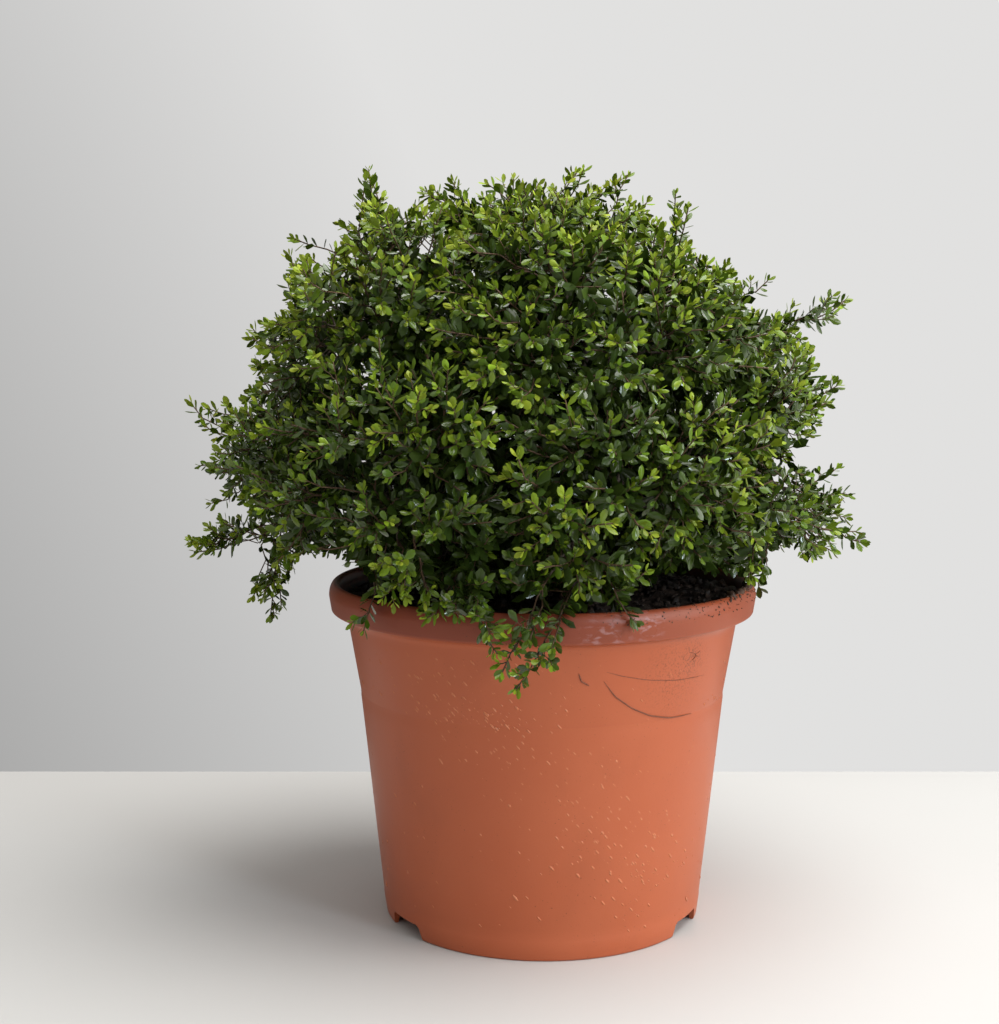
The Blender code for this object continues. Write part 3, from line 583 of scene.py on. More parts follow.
def inner_radius(height):
    """The inside of the pot's wall at a height. It flares from the neck into the rolled rim."""
    heights = (0.0, BEND_HEIGHT, NECK_HEIGHT, POT_HEIGHT - RIM_ROLL)
    radii = (FOOT_RADIUS - WALL, BEND_RADIUS - WALL, NECK_RADIUS - WALL, MOUTH_RADIUS)
    return np.interp(height, heights, radii)


def outer_radius(height):
    """The outside of the pot's wall below its rim."""
    return np.interp(height, (0.0, BEND_HEIGHT, NECK_HEIGHT), (FOOT_RADIUS, BEND_RADIUS, NECK_RADIUS))


def wall_place(degrees, height):
    return round_axis(outer_radius(height), math.radians(degrees), height)


def arc(middle_radius, middle_height, width, height, start, end, count):
    """Points on an ellipse's arc, between angles in degrees from outwards round to up."""
    for angle in np.radians(np.linspace(start, end, count)):
        yield middle_radius + width * math.cos(angle), middle_height + height * math.sin(angle)


def wall_line(start, end, count):
    """Points from one (radius, height) towards another, without the last."""
    for i in range(count):
        share = i / count
        yield tuple(a + (b - a) * share for a, b in zip(start, end))


def pot_profile():
    """From the middle of its floor up the inside, over the rim, down the outside and under the foot."""
    ring = FOOT_RADIUS - FOOT_RING_WIDTH
    edge = (RIM_RADIUS - RIM_TUCK - RIM_EDGE_ROUND, RIM_LOWER_EDGE + RIM_EDGE_ROUND)
    lip_end = RIM_RADIUS - RIM_TUCK - RIM_LIP_DEPTH
    lip_rise = RIM_LOWER_EDGE - RIM_LIP_GAP - NECK_HEIGHT
    band = (outer_radius(BASE_BAND_HEIGHT), BASE_BAND_HEIGHT)
    inner_floor = (inner_radius(FLOOR_HEIGHT + WALL), FLOOR_HEIGHT + WALL)
    inner_bend = (BEND_RADIUS - WALL, BEND_HEIGHT)
    inner_neck = (NECK_RADIUS - WALL, NECK_HEIGHT)
    return [
        (0.0, WALL), (MIDDLE_FOOT_RADIUS - WALL, WALL), (MIDDLE_FOOT_RADIUS, FLOOR_HEIGHT + WALL),
        *wall_line(inner_floor, inner_bend, 6),
        *wall_line(inner_bend, inner_neck, 3),
        inner_neck,
        *arc(MOUTH_RADIUS + HALF_RIM, POT_HEIGHT - RIM_ROLL, HALF_RIM, RIM_ROLL, 180, 0, 17),
        *arc(*edge, RIM_EDGE_ROUND, RIM_EDGE_ROUND, 0, -90, 5),
        (lip_end, RIM_LOWER_EDGE),
        *arc(lip_end, NECK_HEIGHT, NECK_RADIUS - lip_end, lip_rise, 90, 0, 6),
        *wall_line((NECK_RADIUS, NECK_HEIGHT), (BEND_RADIUS, BEND_HEIGHT), 6),
        (BEND_RADIUS, BEND_HEIGHT), (BEND_RADIUS - BEND_STEP, BEND_HEIGHT - BEND_STEP_RUN),
        *wall_line((BEND_RADIUS - BEND_STEP / 2, BEND_HEIGHT - BEND_STEP_END), band, 18),
        band, (band[0] + BASE_BAND_STEP, band[1] - BASE_BAND_RUN),
        *arc(FOOT_RADIUS - FOOT_ROUND, FOOT_ROUND, FOOT_ROUND, FOOT_ROUND, 0, -90, 5),
        (ring + FOOT_RING_CHAMFER, 0.0), (ring, FOOT_RING_CHAMFER), (ring - FOOT_RING_DRAFT, FLOOR_HEIGHT),
        (MIDDLE_FOOT_RADIUS + WALL, FLOOR_HEIGHT), (MIDDLE_FOOT_RADIUS, 0.0), (0.0, 0.0),
    ]


def build_pot(finish):
    points, faces = lathe(pot_profile(), POT_STEPS)
    for point in points:
        out = math.hypot(point[0], point[1])
        if out > FOOT_RADIUS * 0.9 and point[2] > FLOOR_HEIGHT:
            point[:2] *= 1 + noise.noise(Vector(point) * WALL_WAVE_SCALE) * WALL_WAVE / out
    pot = piece("pot_shell", finish, [(points, faces)], ["pot"])
    cutters = [notch_cutter(angle) for angle in NOTCH_ANGLES]
    cutters += [drain_cutter(NOTCH_ANGLES[0] + math.tau / DRAIN_COUNT * i) for i in range(DRAIN_COUNT)]
    for cutter in cutters:
        cut = pot.modifiers.new("cut", "BOOLEAN")
        cut.operation = "DIFFERENCE"
        cut.object = cutter
    bpy.context.view_layer.update()
    mesh = bpy.data.meshes.new_from_object(pot.evaluated_get(bpy.context.evaluated_depsgraph_get()))
    pot.modifiers.clear()
    pot.data = mesh
    mesh.set_sharp_from_angle(angle=SHARP_FROM)
    for cutter in cutters:
        bpy.data.objects.remove(cutter, do_unlink=True)


def cutter_object(bm, angle, out, height):
    mesh = bpy.data.meshes.new("cutter")
    bm.to_mesh(mesh)
    bm.free()
    cutter = linked("cutter", mesh)
    cutter.location = round_axis(out, angle, height)
    cutter.rotation_euler = (0, 0, angle)
    cutter.hide_render = True
    return cutter


def notch_cutter(angle):
    """A block across the foot ring, narrower at its top and with its upper edges rounded."""
    bm = bmesh.new()
    bmesh.ops.create_cube(bm, size=1.0)
    for vertex in bm.verts:
        x, y, z = vertex.co
        width, height = (NOTCH_TOP_WIDTH, NOTCH_HEIGHT) if z > 0 else (NOTCH_WIDTH, -CUT_OVER)
        vertex.co = (x * (FOOT_RING_WIDTH + 4 * CUT_OVER), y * width, height)
    upper = []
    for edge in bm.edges:
        one, other = (vertex.co for vertex in edge.verts)
        if min(one.z, other.z) > 0 and abs(one.y - other.y) < 1e-6:
            upper.append(edge)
    bmesh.ops.bevel(bm, geom=upper, offset=NOTCH_ROUND, segments=3, affect="EDGES")
    return cutter_object(bm, angle, FOOT_RADIUS - FOOT_RING_WIDTH / 2, 0.0)


def drain_cutter(angle):
    bm = bmesh.new()
    sizes = {"radius1": DRAIN_RADIUS, "radius2": DRAIN_RADIUS, "depth": WALL + 2 * CUT_OVER}
    bmesh.ops.create_cone(bm, cap_ends=True, segments=32, **sizes)
    return cutter_object(bm, angle, DRAIN_CIRCLE, FLOOR_HEIGHT + WALL / 2)


@functools.lru_cache
def ball(subdivisions):
    bm = bmesh.new()
    bmesh.ops.create_icosphere(bm, subdivisions=subdivisions, radius=1.0)
    points = np.array([vertex.co for vertex in bm.verts])
    faces = np.array([[vertex.index for vertex in face.verts] for face in bm.faces])
    bm.free()
    return points, faces


def crumbs(rng, origins, sizes, subdivisions=1):
    """Rough lumps of soil, turned every way."""
    points, faces = ball(subdivisions)
    points = points * (1 + CRUMB_ROUGHNESS * rng.normal(size=(len(points), 1)).clip(-1, 1))
    one = unit(rng.normal(size=origins.shape))
    other = unit(np.cross(one, rng.normal(size=origins.shape)))
    frames = np.stack([one, other, np.cross(one, other)], axis=1)
    frames = frames * sizes[:, None, None] * rng.uniform(*CRUMB_STRETCH, size=(len(origins), 3, 1))
    return stamp(points, faces, origins, frames)


def soil_height(x, y, edge):
    """The rough surface of the soil, heaped a little against the wall at the front right."""
    out = math.hypot(x, y)
    fall = (1 - math.cos(math.pi * min(1.0, out / edge))) / 2
    place = Vector((x, y, 0.0))
    rough = noise.fractal(place * SOIL_LUMP_SCALE, 0.9, 2.1, 4) * SOIL_ROUGHNESS
    clods = abs(noise.noise(place * SOIL_CLOD_SCALE)) * SOIL_ROUGHNESS
    turned = math.cos(math.atan2(y, x) - SOIL_HEAP_AT)
    heap = SOIL_HEAP * max(0.0, turned) ** 3 * max(0.0, out / edge - SOIL_HEAP_FROM) / (1 - SOIL_HEAP_FROM)
    calm = 1.0 if out < edge * SOIL_CALM_FROM else SOIL_CALM
    return SOIL_MIDDLE + (SOIL_EDGE - SOIL_MIDDLE) * fall + (rough + clods) * calm + heap


def build_soil(rng, finish):
    edge = inner_radius(SOIL_EDGE) - GAP
    bottom = FLOOR_HEIGHT + WALL + GAP
    profile = [(0.0, SOIL_MIDDLE)]
    profile += [(edge * (i + 1) / SOIL_RINGS, SOIL_MIDDLE) for i in range(SOIL_RINGS)]
    profile += [(inner_radius(height) - GAP, height) for height in (NECK_HEIGHT, BEND_HEIGHT, bottom)]
    points, faces = lathe(profile + [(0.0, bottom)], SOIL_STEPS)
    for point in points:
        if point[2] == SOIL_MIDDLE:
            point[2] = soil_height(point[0], point[1], edge)
    parts = [(points, faces)]
    for count, sizes, subdivisions in SOIL_CRUMBS:
        out = edge * CRUMBS_WITHIN * np.sqrt(rng.random(count))
        origins = round_axis(out, rng.random(count) * math.tau, 0.0)
        for origin in origins:
            origin[2] = soil_height(origin[0], origin[1], edge) + CRUMB_RISE
        parts.append(crumbs(rng, origins, rng.uniform(*sizes, count), subdivisions))
    piece("soil_surface", finish, parts, ["soil"])


def build_rim_crumbs(rng, finish):
    """Grains of soil that lie on the rim where the plant was potted."""
    parts = []
    for count, round_pot, round_roll, sizes in RIM_SOIL:
        angles = np.radians(rng.uniform(*round_pot, count))
        roll = np.radians(rng.uniform(*round_roll, count))
        out = MOUTH_RADIUS + HALF_RIM + HALF_RIM * np.cos(roll)
        origins = round_axis(out, angles, POT_HEIGHT - RIM_ROLL + RIM_ROLL * np.sin(roll))
        parts.append(crumbs(rng, origins, rng.uniform(*sizes, count)))
    piece("rim_soil_grains", finish, parts)


def wall_frames(angles, heights):
    """Places on the pot's wall, with the ways round it, up it and out of it."""
    radii, above, below = (outer_radius(heights + off) for off in (0.0, WALL_PROBE, -WALL_PROBE))
    around = np.stack([-np.sin(angles), np.cos(angles), np.zeros(len(angles))], axis=1)
    upwards = unit(round_axis((above - below) / (2 * WALL_PROBE), angles, 1.0))
    return round_axis(radii, angles, heights), around, upwards, np.cross(around, upwards)


def build_drops(rng, finish):
    """Water drops: low domes on the wall."""
    share = (np.arange(DROPS_IN_BAND) + rng.random(DROPS_IN_BAND)) / DROPS_IN_BAND
    angles, heights = (np.interp(share, np.linspace(0, 1, 3), values) for values in DROP_BAND)
    angles = np.radians(angles) + rng.normal(0, DROP_BAND_SPREAD / FOOT_RADIUS, DROPS_IN_BAND)
    heights = heights + rng.normal(0, DROP_BAND_SPREAD, DROPS_IN_BAND)
    angles = np.concatenate([angles, rng.random(DROPS_AROUND) * math.tau])
    heights = np.concatenate([heights, rng.uniform(*DROP_HEIGHTS, DROPS_AROUND)]).clip(*DROP_LIMITS)
    origins, around, upwards, outwards = wall_frames(angles, heights)
    sizes = DROP_SIZES[0] + (DROP_SIZES[1] - DROP_SIZES[0]) * rng.random(len(angles)) ** DROP_SMALLNESS
    long = sizes * rng.uniform(*DROP_LENGTHS, len(angles))
    along = unit(around * DROP_SLANT - upwards)
    frames = np.stack([np.cross(outwards, along), along, outwards], axis=1)
    frames = frames * np.stack([sizes * DROP_WIDTH, long, sizes * DROP_RISE], axis=1)[:, :, None]
    piece("water_drops", finish, [stamp(*ball(2), origins, frames)])


def build_threads(rng, finish):
    """Thin roots that stick to the wall. Their ends taper."""
    kernel = np.hanning(THREAD_SMOOTHING)
    kernel /= kernel.sum()
    parts = []
    for radius, thread in THREADS:
        fine = np.linspace(0, len(thread) - 1, THREAD_STEPS * len(thread))
        bent = (np.interp(fine, np.arange(len(thread)), values) for values in np.array(thread).T)
        padded = (np.pad(values, THREAD_SMOOTHING // 2, "edge") for values in bent)
        degrees, heights = (np.convolve(values, kernel, "valid") for values in padded)
        origins, _, _, outwards = wall_frames(np.radians(degrees), heights)
        waver = rng.normal(0, THREAD_WAVER, len(fine))
        line = origins + outwards * (radius * 0.6 + waver)[:, None]
        taper = np.minimum(1.0, 0.25 + 4 * np.minimum(fine, fine[-1] - fine) / fine[-1])
        parts.append(tube(line, radius * taper, 6))
    piece("root_threads", finish, parts)


# Trunk, boughs and the masses that they bear


def direction(azimuth, elevation):
    """A unit vector, from degrees round from +X and degrees up."""
    turn, rise = math.radians(azimuth), math.radians(elevation)
    return np.array((math.cos(turn) * math.cos(rise), math.sin(turn) * math.cos(rise), math.sin(rise)))


def trunk_point(height):
    share = max(0.0, height - FLARE_HEIGHT / 2) / TRUNK_HEIGHT
    return TRUNK_FOOT + TRUNK_LEAN * share + UP * (SOIL_MIDDLE + GAP + height)


def trunk_radius(height):
    taper = 1 - TRUNK_TAPER * height / TRUNK_HEIGHT
    return TRUNK_RADIUS * taper + TRUNK_FLARE * math.exp(-max(0.0, height) / FLARE_HEIGHT)


class Mass:
    """One mass of foliage, by its middle and its bough."""

    def __init__(self, ring, index):
        self.azimuth = ring.azimuth + 360 / ring.count * index
        self.ring = ring
        self.middle = CROWN_MIDDLE + direction(self.azimuth, ring.elevation) * ring.distance
        self.name = "_".join([ring.name] + self.side_words())
        self.bough = self.bough_line(ring.bough_at + BOUGH_STAGGER * (index % 2))
        self.radii = BOUGH_RADIUS * np.linspace(1, BOUGH_TIP, BOUGH_RINGS)

    def side_words(self):
        x, y = (self.middle - CROWN_MIDDLE)[:2]
        words = ["front"] if y < -ASIDE else ["back"] if y > ASIDE else []
        return words + (["left"] if x < -ASIDE else ["right"] if x > ASIDE else [])

    def bough_line(self, share):
        start = trunk_point(TRUNK_HEIGHT * share)
        length = norm(self.middle - start)
        knee = start + direction(self.azimuth, self.ring.steepness) * length * BOUGH_KNEE
        t = np.linspace(0, self.ring.bough_share, BOUGH_RINGS)[:, None]
        return start * (1 - t) ** 2 + knee * 2 * t * (1 - t) + self.middle * t**2


def bark_tube(line, radii, sides, relief):
    """A limb whose radius carries the bark's furrows, which run along it."""
    rough = np.repeat(np.asarray(radii)[:, None], sides, axis=1)
    for i, (x, y, z) in enumerate(line):
        for j in range(sides):
            angle = math.tau * j / sides
            out = Vector((math.cos(angle), math.sin(angle), 0)) * radii[i]
            place = Vector((x + out.x, y + out.y, z * BARK_STRETCH + out.z)) * BARK_SCALE
            rough[i, j] += noise.fractal(place, 1.0, 2.0, 3) * relief
    return tube(line, rough, sides)


def build_limbs(masses, finish):
    heights = np.linspace(-TRUNK_BURIED, TRUNK_HEIGHT, TRUNK_RINGS)
    line = np.array([trunk_point(height) for height in heights])
    line[0] = line[1] - UP * (heights[1] - heights[0])
    parts = [bark_tube(line, [trunk_radius(height) for height in heights], TRUNK_SIDES, BARK_RELIEF)]
    parts += [bark_tube(mass.bough, mass.radii, BOUGH_SIDES, BARK_RELIEF / 2) for mass in masses]
    piece("trunk_and_boughs", finish, parts, ["trunk"] + ["bough_" + mass.name for mass in masses])


# Crown

# A layer of the crown: the nodes that it replaces, its twigs by age, and its leaves
Layer = collections.namedtuple("Layer", "nodes twigs leaves")


def reach(towards):
    """How far the crown's envelope lies from its middle, in a direction."""
    x, y, z = towards
    turn = math.atan2(z, x)
    place = turn % math.tau / math.tau * len(OUTLINE)
    before = int(place) % len(OUTLINE)
    share = (1 - math.cos(math.pi * (place % 1))) / 2
    side = OUTLINE[before] * (1 - share) + OUTLINE[(before + 1) % len(OUTLINE)] * share
    depth = FRONT_REACH if y < 0 else BACK_REACH
    swell = 0
    for middle, width, far in LOBES:
        off = ((math.degrees(turn) - middle + 180) % 360 - 180) / width
        swell += far / 1000 * math.exp(-(off**2))
    return 1 / math.hypot(math.hypot(x, z) / side, y / depth) + swell * math.exp(-((y / LOBE_DEPTH) ** 2))


def seen_at(points):
    """Where the viewer sees points, across and up in the outline's plane."""
    viewer = np.array((CAMERA_ASIDE, -CAMERA_BACK, CAMERA_HEIGHT))
    away = points - viewer
    return (viewer + away * (CAMERA_BACK / away[:, 1:2]))[:, ::2]


def hollow_strength(points):
    """How strong the hollows are at points on the viewer's side."""
    seen = seen_at(points)
    strength = np.zeros(len(points))
    for across, up, radius, strong in HOLLOWS:
        away = np.hypot(*(seen - (across, up)).T) / radius
        strength += strong * np.exp(-(away**2))
    return np.where(points[:, 1] < 0, strength, 0.0)


def off_gaps(points, margin=0.0):
    """Which points don't hide a gap from the viewer."""
    seen = seen_at(points)
    clear = np.ones(len(points), bool)
    for across, up, radius in GAPS:
        clear &= np.hypot(*(seen - (across, up)).T) > radius * (1 + margin)
    return clear


def clear_of_pot(points):
    """Which points are above the pot and its soil, or outside its rim."""
    out = norm(points[:, :2], axis=1)
    above = points[:, 2] > POT_HEIGHT + LEAF_CLEARANCE
    outside = out > RIM_RADIUS + LEAF_CLEARANCE
    inside = (out < MOUTH_RADIUS - LEAF_CLEARANCE) & (points[:, 2] > SOIL_MIDDLE + 2 * LEAF_CLEARANCE)
    return above | outside | inside


def off_the_rim(line):
    """A twig's points, with those that would lie in the pot's rim moved out of it."""
    out = norm(line[:, :2], axis=1)
    inside, outside = MOUTH_RADIUS - TWIG_CLEARANCE, RIM_RADIUS + TWIG_CLEARANCE
    low = (line[:, 2] < POT_HEIGHT + TWIG_CLEARANCE) & (out > inside) & (out < outside)
    moved = line.copy()
    moved[low, :2] *= (outside / out[low])[:, None]
    return moved


def clear_of_limbs(points, masses):
    """Which points keep off the trunk and the boughs."""
    trunk = np.array([trunk_point(height) for height in np.linspace(0, TRUNK_HEIGHT, 20)])
    clear = np.ones(len(points), bool)
    for line, radius in [(trunk, TRUNK_RADIUS)] + [(mass.bough, BOUGH_RADIUS) for mass in masses]:
        for point in line:
            clear &= norm(points - point, axis=1) > radius + LEAF_CLEARANCE
    return clear


def spiral(count, rng):
    """Unit vectors spread evenly over the sphere, each shifted a little at random."""
    i = np.arange(count)
    height = 1 - 2 * (i + 0.5) / count
    spread = round_axis(np.sqrt(1 - height**2), LEAF_TURN * i, height)
    return unit(spread + rng.normal(0, TIP_JITTER * math.sqrt(4 / count), (count, 3)))


def billow(towards):
    """How far a lump of the crown stands out or a hollow lies in. The outline itself keeps its own shape."""
    place = Vector(towards)
    lumps = sum([noise.noise(place * frequency) * height for frequency, height in BILLOWS])
    hollow = -noise.noise(place * HOLLOW_SCALE + Vector((7, 3, 5))) - HOLLOW_FROM
    return lumps * abs(towards[1]) - max(0.0, hollow) * HOLLOW_DEPTH * (0.35 + 0.65 * abs(towards[1]))


def tip_at(towards, distance):
    """A shoot's tip, drawn in until it lies above the crown's underside."""
    if towards[2] < 0:
        distance = min(distance, (UNDERSIDE - CROWN_MIDDLE[2]) / towards[2])
    return CROWN_MIDDLE + towards * distance if distance > LEAST_REACH else None


def companions(tip, way, rng):
    """Tips a little behind a hanging one and to its sides."""
    found = []
    for _ in range(HANGING_COMPANIONS):
        back = rng.uniform(*COMPANION_BACK)
        aside = rng.normal(0, COMPANION_ASIDE, 3)
        other = tip - way * back + aside - way * aside.dot(way)
        if other[2] > UNDERSIDE or math.hypot(other[0], other[1]) > RIM_RADIUS + HANG_OUT:
            found.append(other)
    return found


def hanging_tips(rng):
    """Tips of the shoots that hang down, of the front sprig and of the fringes."""
    tips = []
    fringes = [shoot for count, least, most in FRINGES for shoot in rng.uniform(least, most, (count, 3))]
    for i, (azimuth, distance, height) in enumerate((*HANGING_SHOOTS, *FRONT_SPRIG, *fringes)):
        out = direction(azimuth, 0)
        tip = out * distance + UP * (height + LEAF_BEYOND)
        tips.append(tip)
        if i < len(HANGING_SHOOTS):
            tips += companions(tip, unit(out * 0.5 - UP), rng)
    return tips


def sprig_tips(rng):
    """Tips along the sprigs, which lie behind the outline's plane and before it by turns."""
    tips = []
    for i, (*ends, count) in enumerate(SPRIGS):
        foot_across, foot_up, across, up = np.array(ends) / 1000
        tip = np.array((across, 0.0, up))
        back = np.array((foot_across, 0.0, foot_up)) - tip
        for share in np.linspace(0, 1, count):
            aside = rng.normal(0, SPRIG_ASIDE, 3) * min(1.0, share * 3)
            tips.append(tip + back * share + aside + np.array((0.0, SPRIG_DEPTH * (-1) ** i, 0.0)))
    return tips


def spread_tips(rng):
    """All the shoot tips of the crown."""
    tips = []
    for count, least, more, power in COATS:
        for towards in spiral(count, rng):
            depth = least + more * rng.random() ** power
            tips.append(tip_at(towards, reach(towards) - LEAF_BEYOND - depth + billow(towards)))
    tips = np.array([tip for tip in tips if tip is not None])
    tips -= unit(tips - CROWN_MIDDLE) * (hollow_strength(tips) * HOLLOW_IN)[:, None]
    tips = list(tips)
    for towards in spiral(INNER_TIPS, rng):
        tips.append(tip_at(towards, reach(towards) * rng.uniform(*INNER_REACH)))
    tips += sprig_tips(rng)
    tips += hanging_tips(rng)
    for _ in range(STRAGGLERS):
        towards = unit((rng.normal(), abs(rng.normal()) * 1.4, rng.normal() + 0.4))
        tips.append(tip_at(towards, reach(towards) + rng.uniform(*STRAGGLER_OUT) - LEAF_BEYOND))
    tips = np.array([tip for tip in tips if tip is not None])
    return tips[off_gaps(tips, TIP_MARGIN)]


def depth_inside(point):
    """How far a point lies inside the envelope."""
    away = point - CROWN_MIDDLE
    distance = norm(away)
    return reach(away / distance) - distance


class Grower:
    """Grows the twigs and leaves of one mass."""

    def __init__(self, tips, layer, rng):
        self.tips = tips
        self.layer = layer
        self.rng = rng

    def add_twig(self, line, count, start=None):
        """A wavering twig that bears so many tips."""
        wander = self.rng.normal(0, TWIG_BEND, line.shape)
        wander[0] = wander[-1] = 0
        line = off_the_rim(line + wander * min(1.0, norm(line[-1] - line[0]) / TWIG_BEND_FROM))
        radius = TWIG_RADIUS * count**TWIG_THICKENING
        radii = np.linspace(start or radius, radius * (1 - TWIG_TAPER), len(line))
        age = "old" if count > OLD_TWIG else "young"
        self.layer.twigs[age].append(tube(line, radii, TWIG_SIDES[age]))
        return line

    def grow(self, start, way, chosen):
        """Twigs from start to every chosen tip: one runs towards their middle and forks there."""
        if len(chosen) <= SPRAY:
            self.spray(start, way, chosen)
            return
        middle = self.tips[chosen].mean(axis=0)
        fork = start + (middle - start) * FORK_AT
        chord = fork - start
        onwards = unit(chord)
        line = curve(start, unit(way + onwards) * norm(chord), fork, chord, TWIG_RINGS)
        line = self.add_twig(line, len(chosen))
        if len(chosen) <= LEAFY_COUNT:
            backs = np.arange(BARE_FOOT, norm(line[-1] - line[0]), OLD_LEAF_SPACING)
            self.add_leaves(line, backs, OLD_LEAF_AGE + np.zeros(len(backs)))
        for group in self.halves(chosen):
            self.grow(fork, onwards, group)

    def halves(self, chosen):
        """The chosen tips in two groups, split across the way in which they are spread furthest."""
        points = self.tips[chosen]
        one = points[np.argmax(norm(points - points[0], axis=1))]
        other = points[np.argmax(norm(points - one, axis=1))]
        ordered = chosen[np.argsort((points - one) @ (other - one), kind="stable")]
        return ordered[: len(chosen) // 2], ordered[len(chosen) // 2 :]

    def spray(self, start, way, chosen):
        """A leading shoot runs to the furthest tip, and side shoots leave it for the others."""
        points = self.tips[chosen]
        order = np.argsort(-norm(points - start, axis=1))
        lead = points[order[0]]
        # Painted shade: sprays that lie deeper inside the envelope get darker tints.
        shade = max(0.0, min(depth_inside(point) for point in points) - LEAF_BEYOND) / SHADE_DEPTH
        # Painted light: sprays towards the sunny side get lighter tints.
        shade -= SUNNY_LIGHTENING * unit(lead - CROWN_MIDDLE).dot(unit(SUNNY_SIDE))
        # Painted shade in the hollows, and painted light on the bright lumps.
        shade += HOLLOW_SHADE_TINTS * hollow_strength(points).mean()
        age = self.rng.random() * SPRAY_AGES + shade
        line = self.shoot(start, way, lead, len(chosen), age)
        chord = lead - start
        length = norm(chord)
        onwards = chord / length
        for tip in points[order[1:]]:
            run = (tip - start).dot(onwards)
            aside = norm(tip - start - onwards * run)
            place = np.clip((run - aside) / length, *SIDE_SHOOT_RANGE) * (len(line) - 1)
            before = int(place)
            step = line[before + 1] - line[before]
            origin = line[before] + step * (place - before)
            self.shoot(origin, unit(step), tip, 1, age + self.rng.uniform(*SHOOT_AGES))

    def shoot(self, start, way, tip, count, age):
        """One leafy shoot, which turns up a little at its end."""
        chord = tip - start
        length = norm(chord)
        onwards = chord / max(length, 1e-9)
        start_way = unit(way * 0.6 + onwards) * length
        end_way = unit(onwards + UP * TURN_UP) * length
        line = self.add_twig(curve(start, start_way, tip, end_way, TWIG_RINGS), count)
        backs = leaf_backs(length - BARE_FOOT)
        self.add_leaves(line, backs, max(0.0, age) + np.arange(len(backs)) / TINT_STEP)
        return line

    def add_leaves(self, line, backs, ages_and_shade):
        """Leaves round a twig, at distances back from its end."""
        if not len(backs):
            return
        count, rng = len(backs), self.rng
        run = np.concatenate([[0.0], np.cumsum(norm(np.diff(line, axis=0), axis=1))])
        at = np.clip(run[-1] - backs, 0.0, run[-1])
        bases, along = (
            np.stack([np.interp(at, run, rows[:, k]) for k in range(3)], axis=1)
            for rows in (line, unit(np.gradient(line, axis=0)))
        )
        along = unit(along)
        side = unit(np.cross(along, NO_TWIG_WAY))
        turn = rng.random() * math.tau + LEAF_TURN * np.arange(count) + rng.normal(0, TURN_UNREST, count)
        outwards = side * np.cos(turn)[:, None] + np.cross(along, side) * np.sin(turn)[:, None]
        spread = TIP_SPREAD + (SIDE_SPREAD - TIP_SPREAD) * (1 - np.exp(-backs / FULL_AT))
        spread = (spread * rng.uniform(*SPREAD_RANGE, count))[:, None]
        heading = along * np.cos(spread) + outwards * np.sin(spread)
        upper = along * np.sin(spread) - outwards * np.cos(spread)
        light = unit(UP + LIGHT_FROM_OUTSIDE * unit(bases - CROWN_MIDDLE))
        upper = upper + light * TO_LIGHT + rng.normal(0, LEAF_UNREST, (count, 3))
        upper = unit(upper - heading * np.sum(upper * heading, axis=-1, keepdims=True))
        grown = END_LEAF + (1 - END_LEAF) * (1 - np.exp(-backs / FULL_AT * 2))
        length = LEAF_LENGTH * grown * rng.uniform(*LENGTH_RANGE, count)
        deep = len(TINTS) - 1
        oldest = np.where(norm(bases - CROWN_MIDDLE, axis=1) > DEEP_WITHIN, deep - 1, deep)
        tint = np.clip(ages_and_shade + rng.uniform(*LEAF_AGES, count), 0, oldest).astype(int)
        length = length * np.where(tint == deep, DEEP_LEAF, 1.0)
        width = length * LEAF_ASPECT * rng.uniform(*WIDTH_RANGE, count) / 2
        bend = length * rng.uniform(*BEND_RANGE, count)
        across = np.cross(upper, heading)
        axes = [heading * length[:, None], across * width[:, None], upper * bend[:, None]]
        self.layer.leaves.append(np.concatenate([bases, *axes, tint[:, None]], axis=1))


def leaf_backs(length):
    """How far back from a shoot's tip its leaves sit: close together at first, then evenly spaced."""
    backs, place, pace = [], 0.0, LEAF_PACE
    while place < length:
        backs.append(place)
        place += min(pace, LEAF_SPACING)
        pace += LEAF_PACE_GROWTH
    return np.array(backs)


def leaf_template(stations):
    """A leaf, blunt and widest past its middle, with its midrib above its edges."""
    points = [(0.0, 0.0, 0.0)]
    for along, half in stations:
        sag = -LEAF_DROOP * along**2
        edge = sag - LEAF_CROWN * half * LEAF_ASPECT
        points += [(along, half, edge), (along, 0.0, sag), (along, -half, edge)]
    points.append((1.0, 0.0, -LEAF_DROOP))
    last = len(points) - 1
    faces = [(0, 2, 1), (0, 3, 2), (last, last - 3, last - 2), (last, last - 2, last - 1)]
    for i in range(len(stations) - 1):
        for a in (3 * i + 1, 3 * i + 2):
            faces += [(a, a + 1, a + 4), (a, a + 4, a + 3)]
    return np.array(points), np.array(faces)


def keep_clear(leaves, masses):
    """The leaves that are clear of the pot, the trunk, the boughs and the gaps."""
    kept = np.ones(len(leaves), bool)
    for share in LEAF_PROBES:
        points = leaves[:, 0:3] + leaves[:, 3:6] * share
        kept &= clear_of_pot(points) & clear_of_limbs(points, masses) & off_gaps(points)
    return leaves[kept]


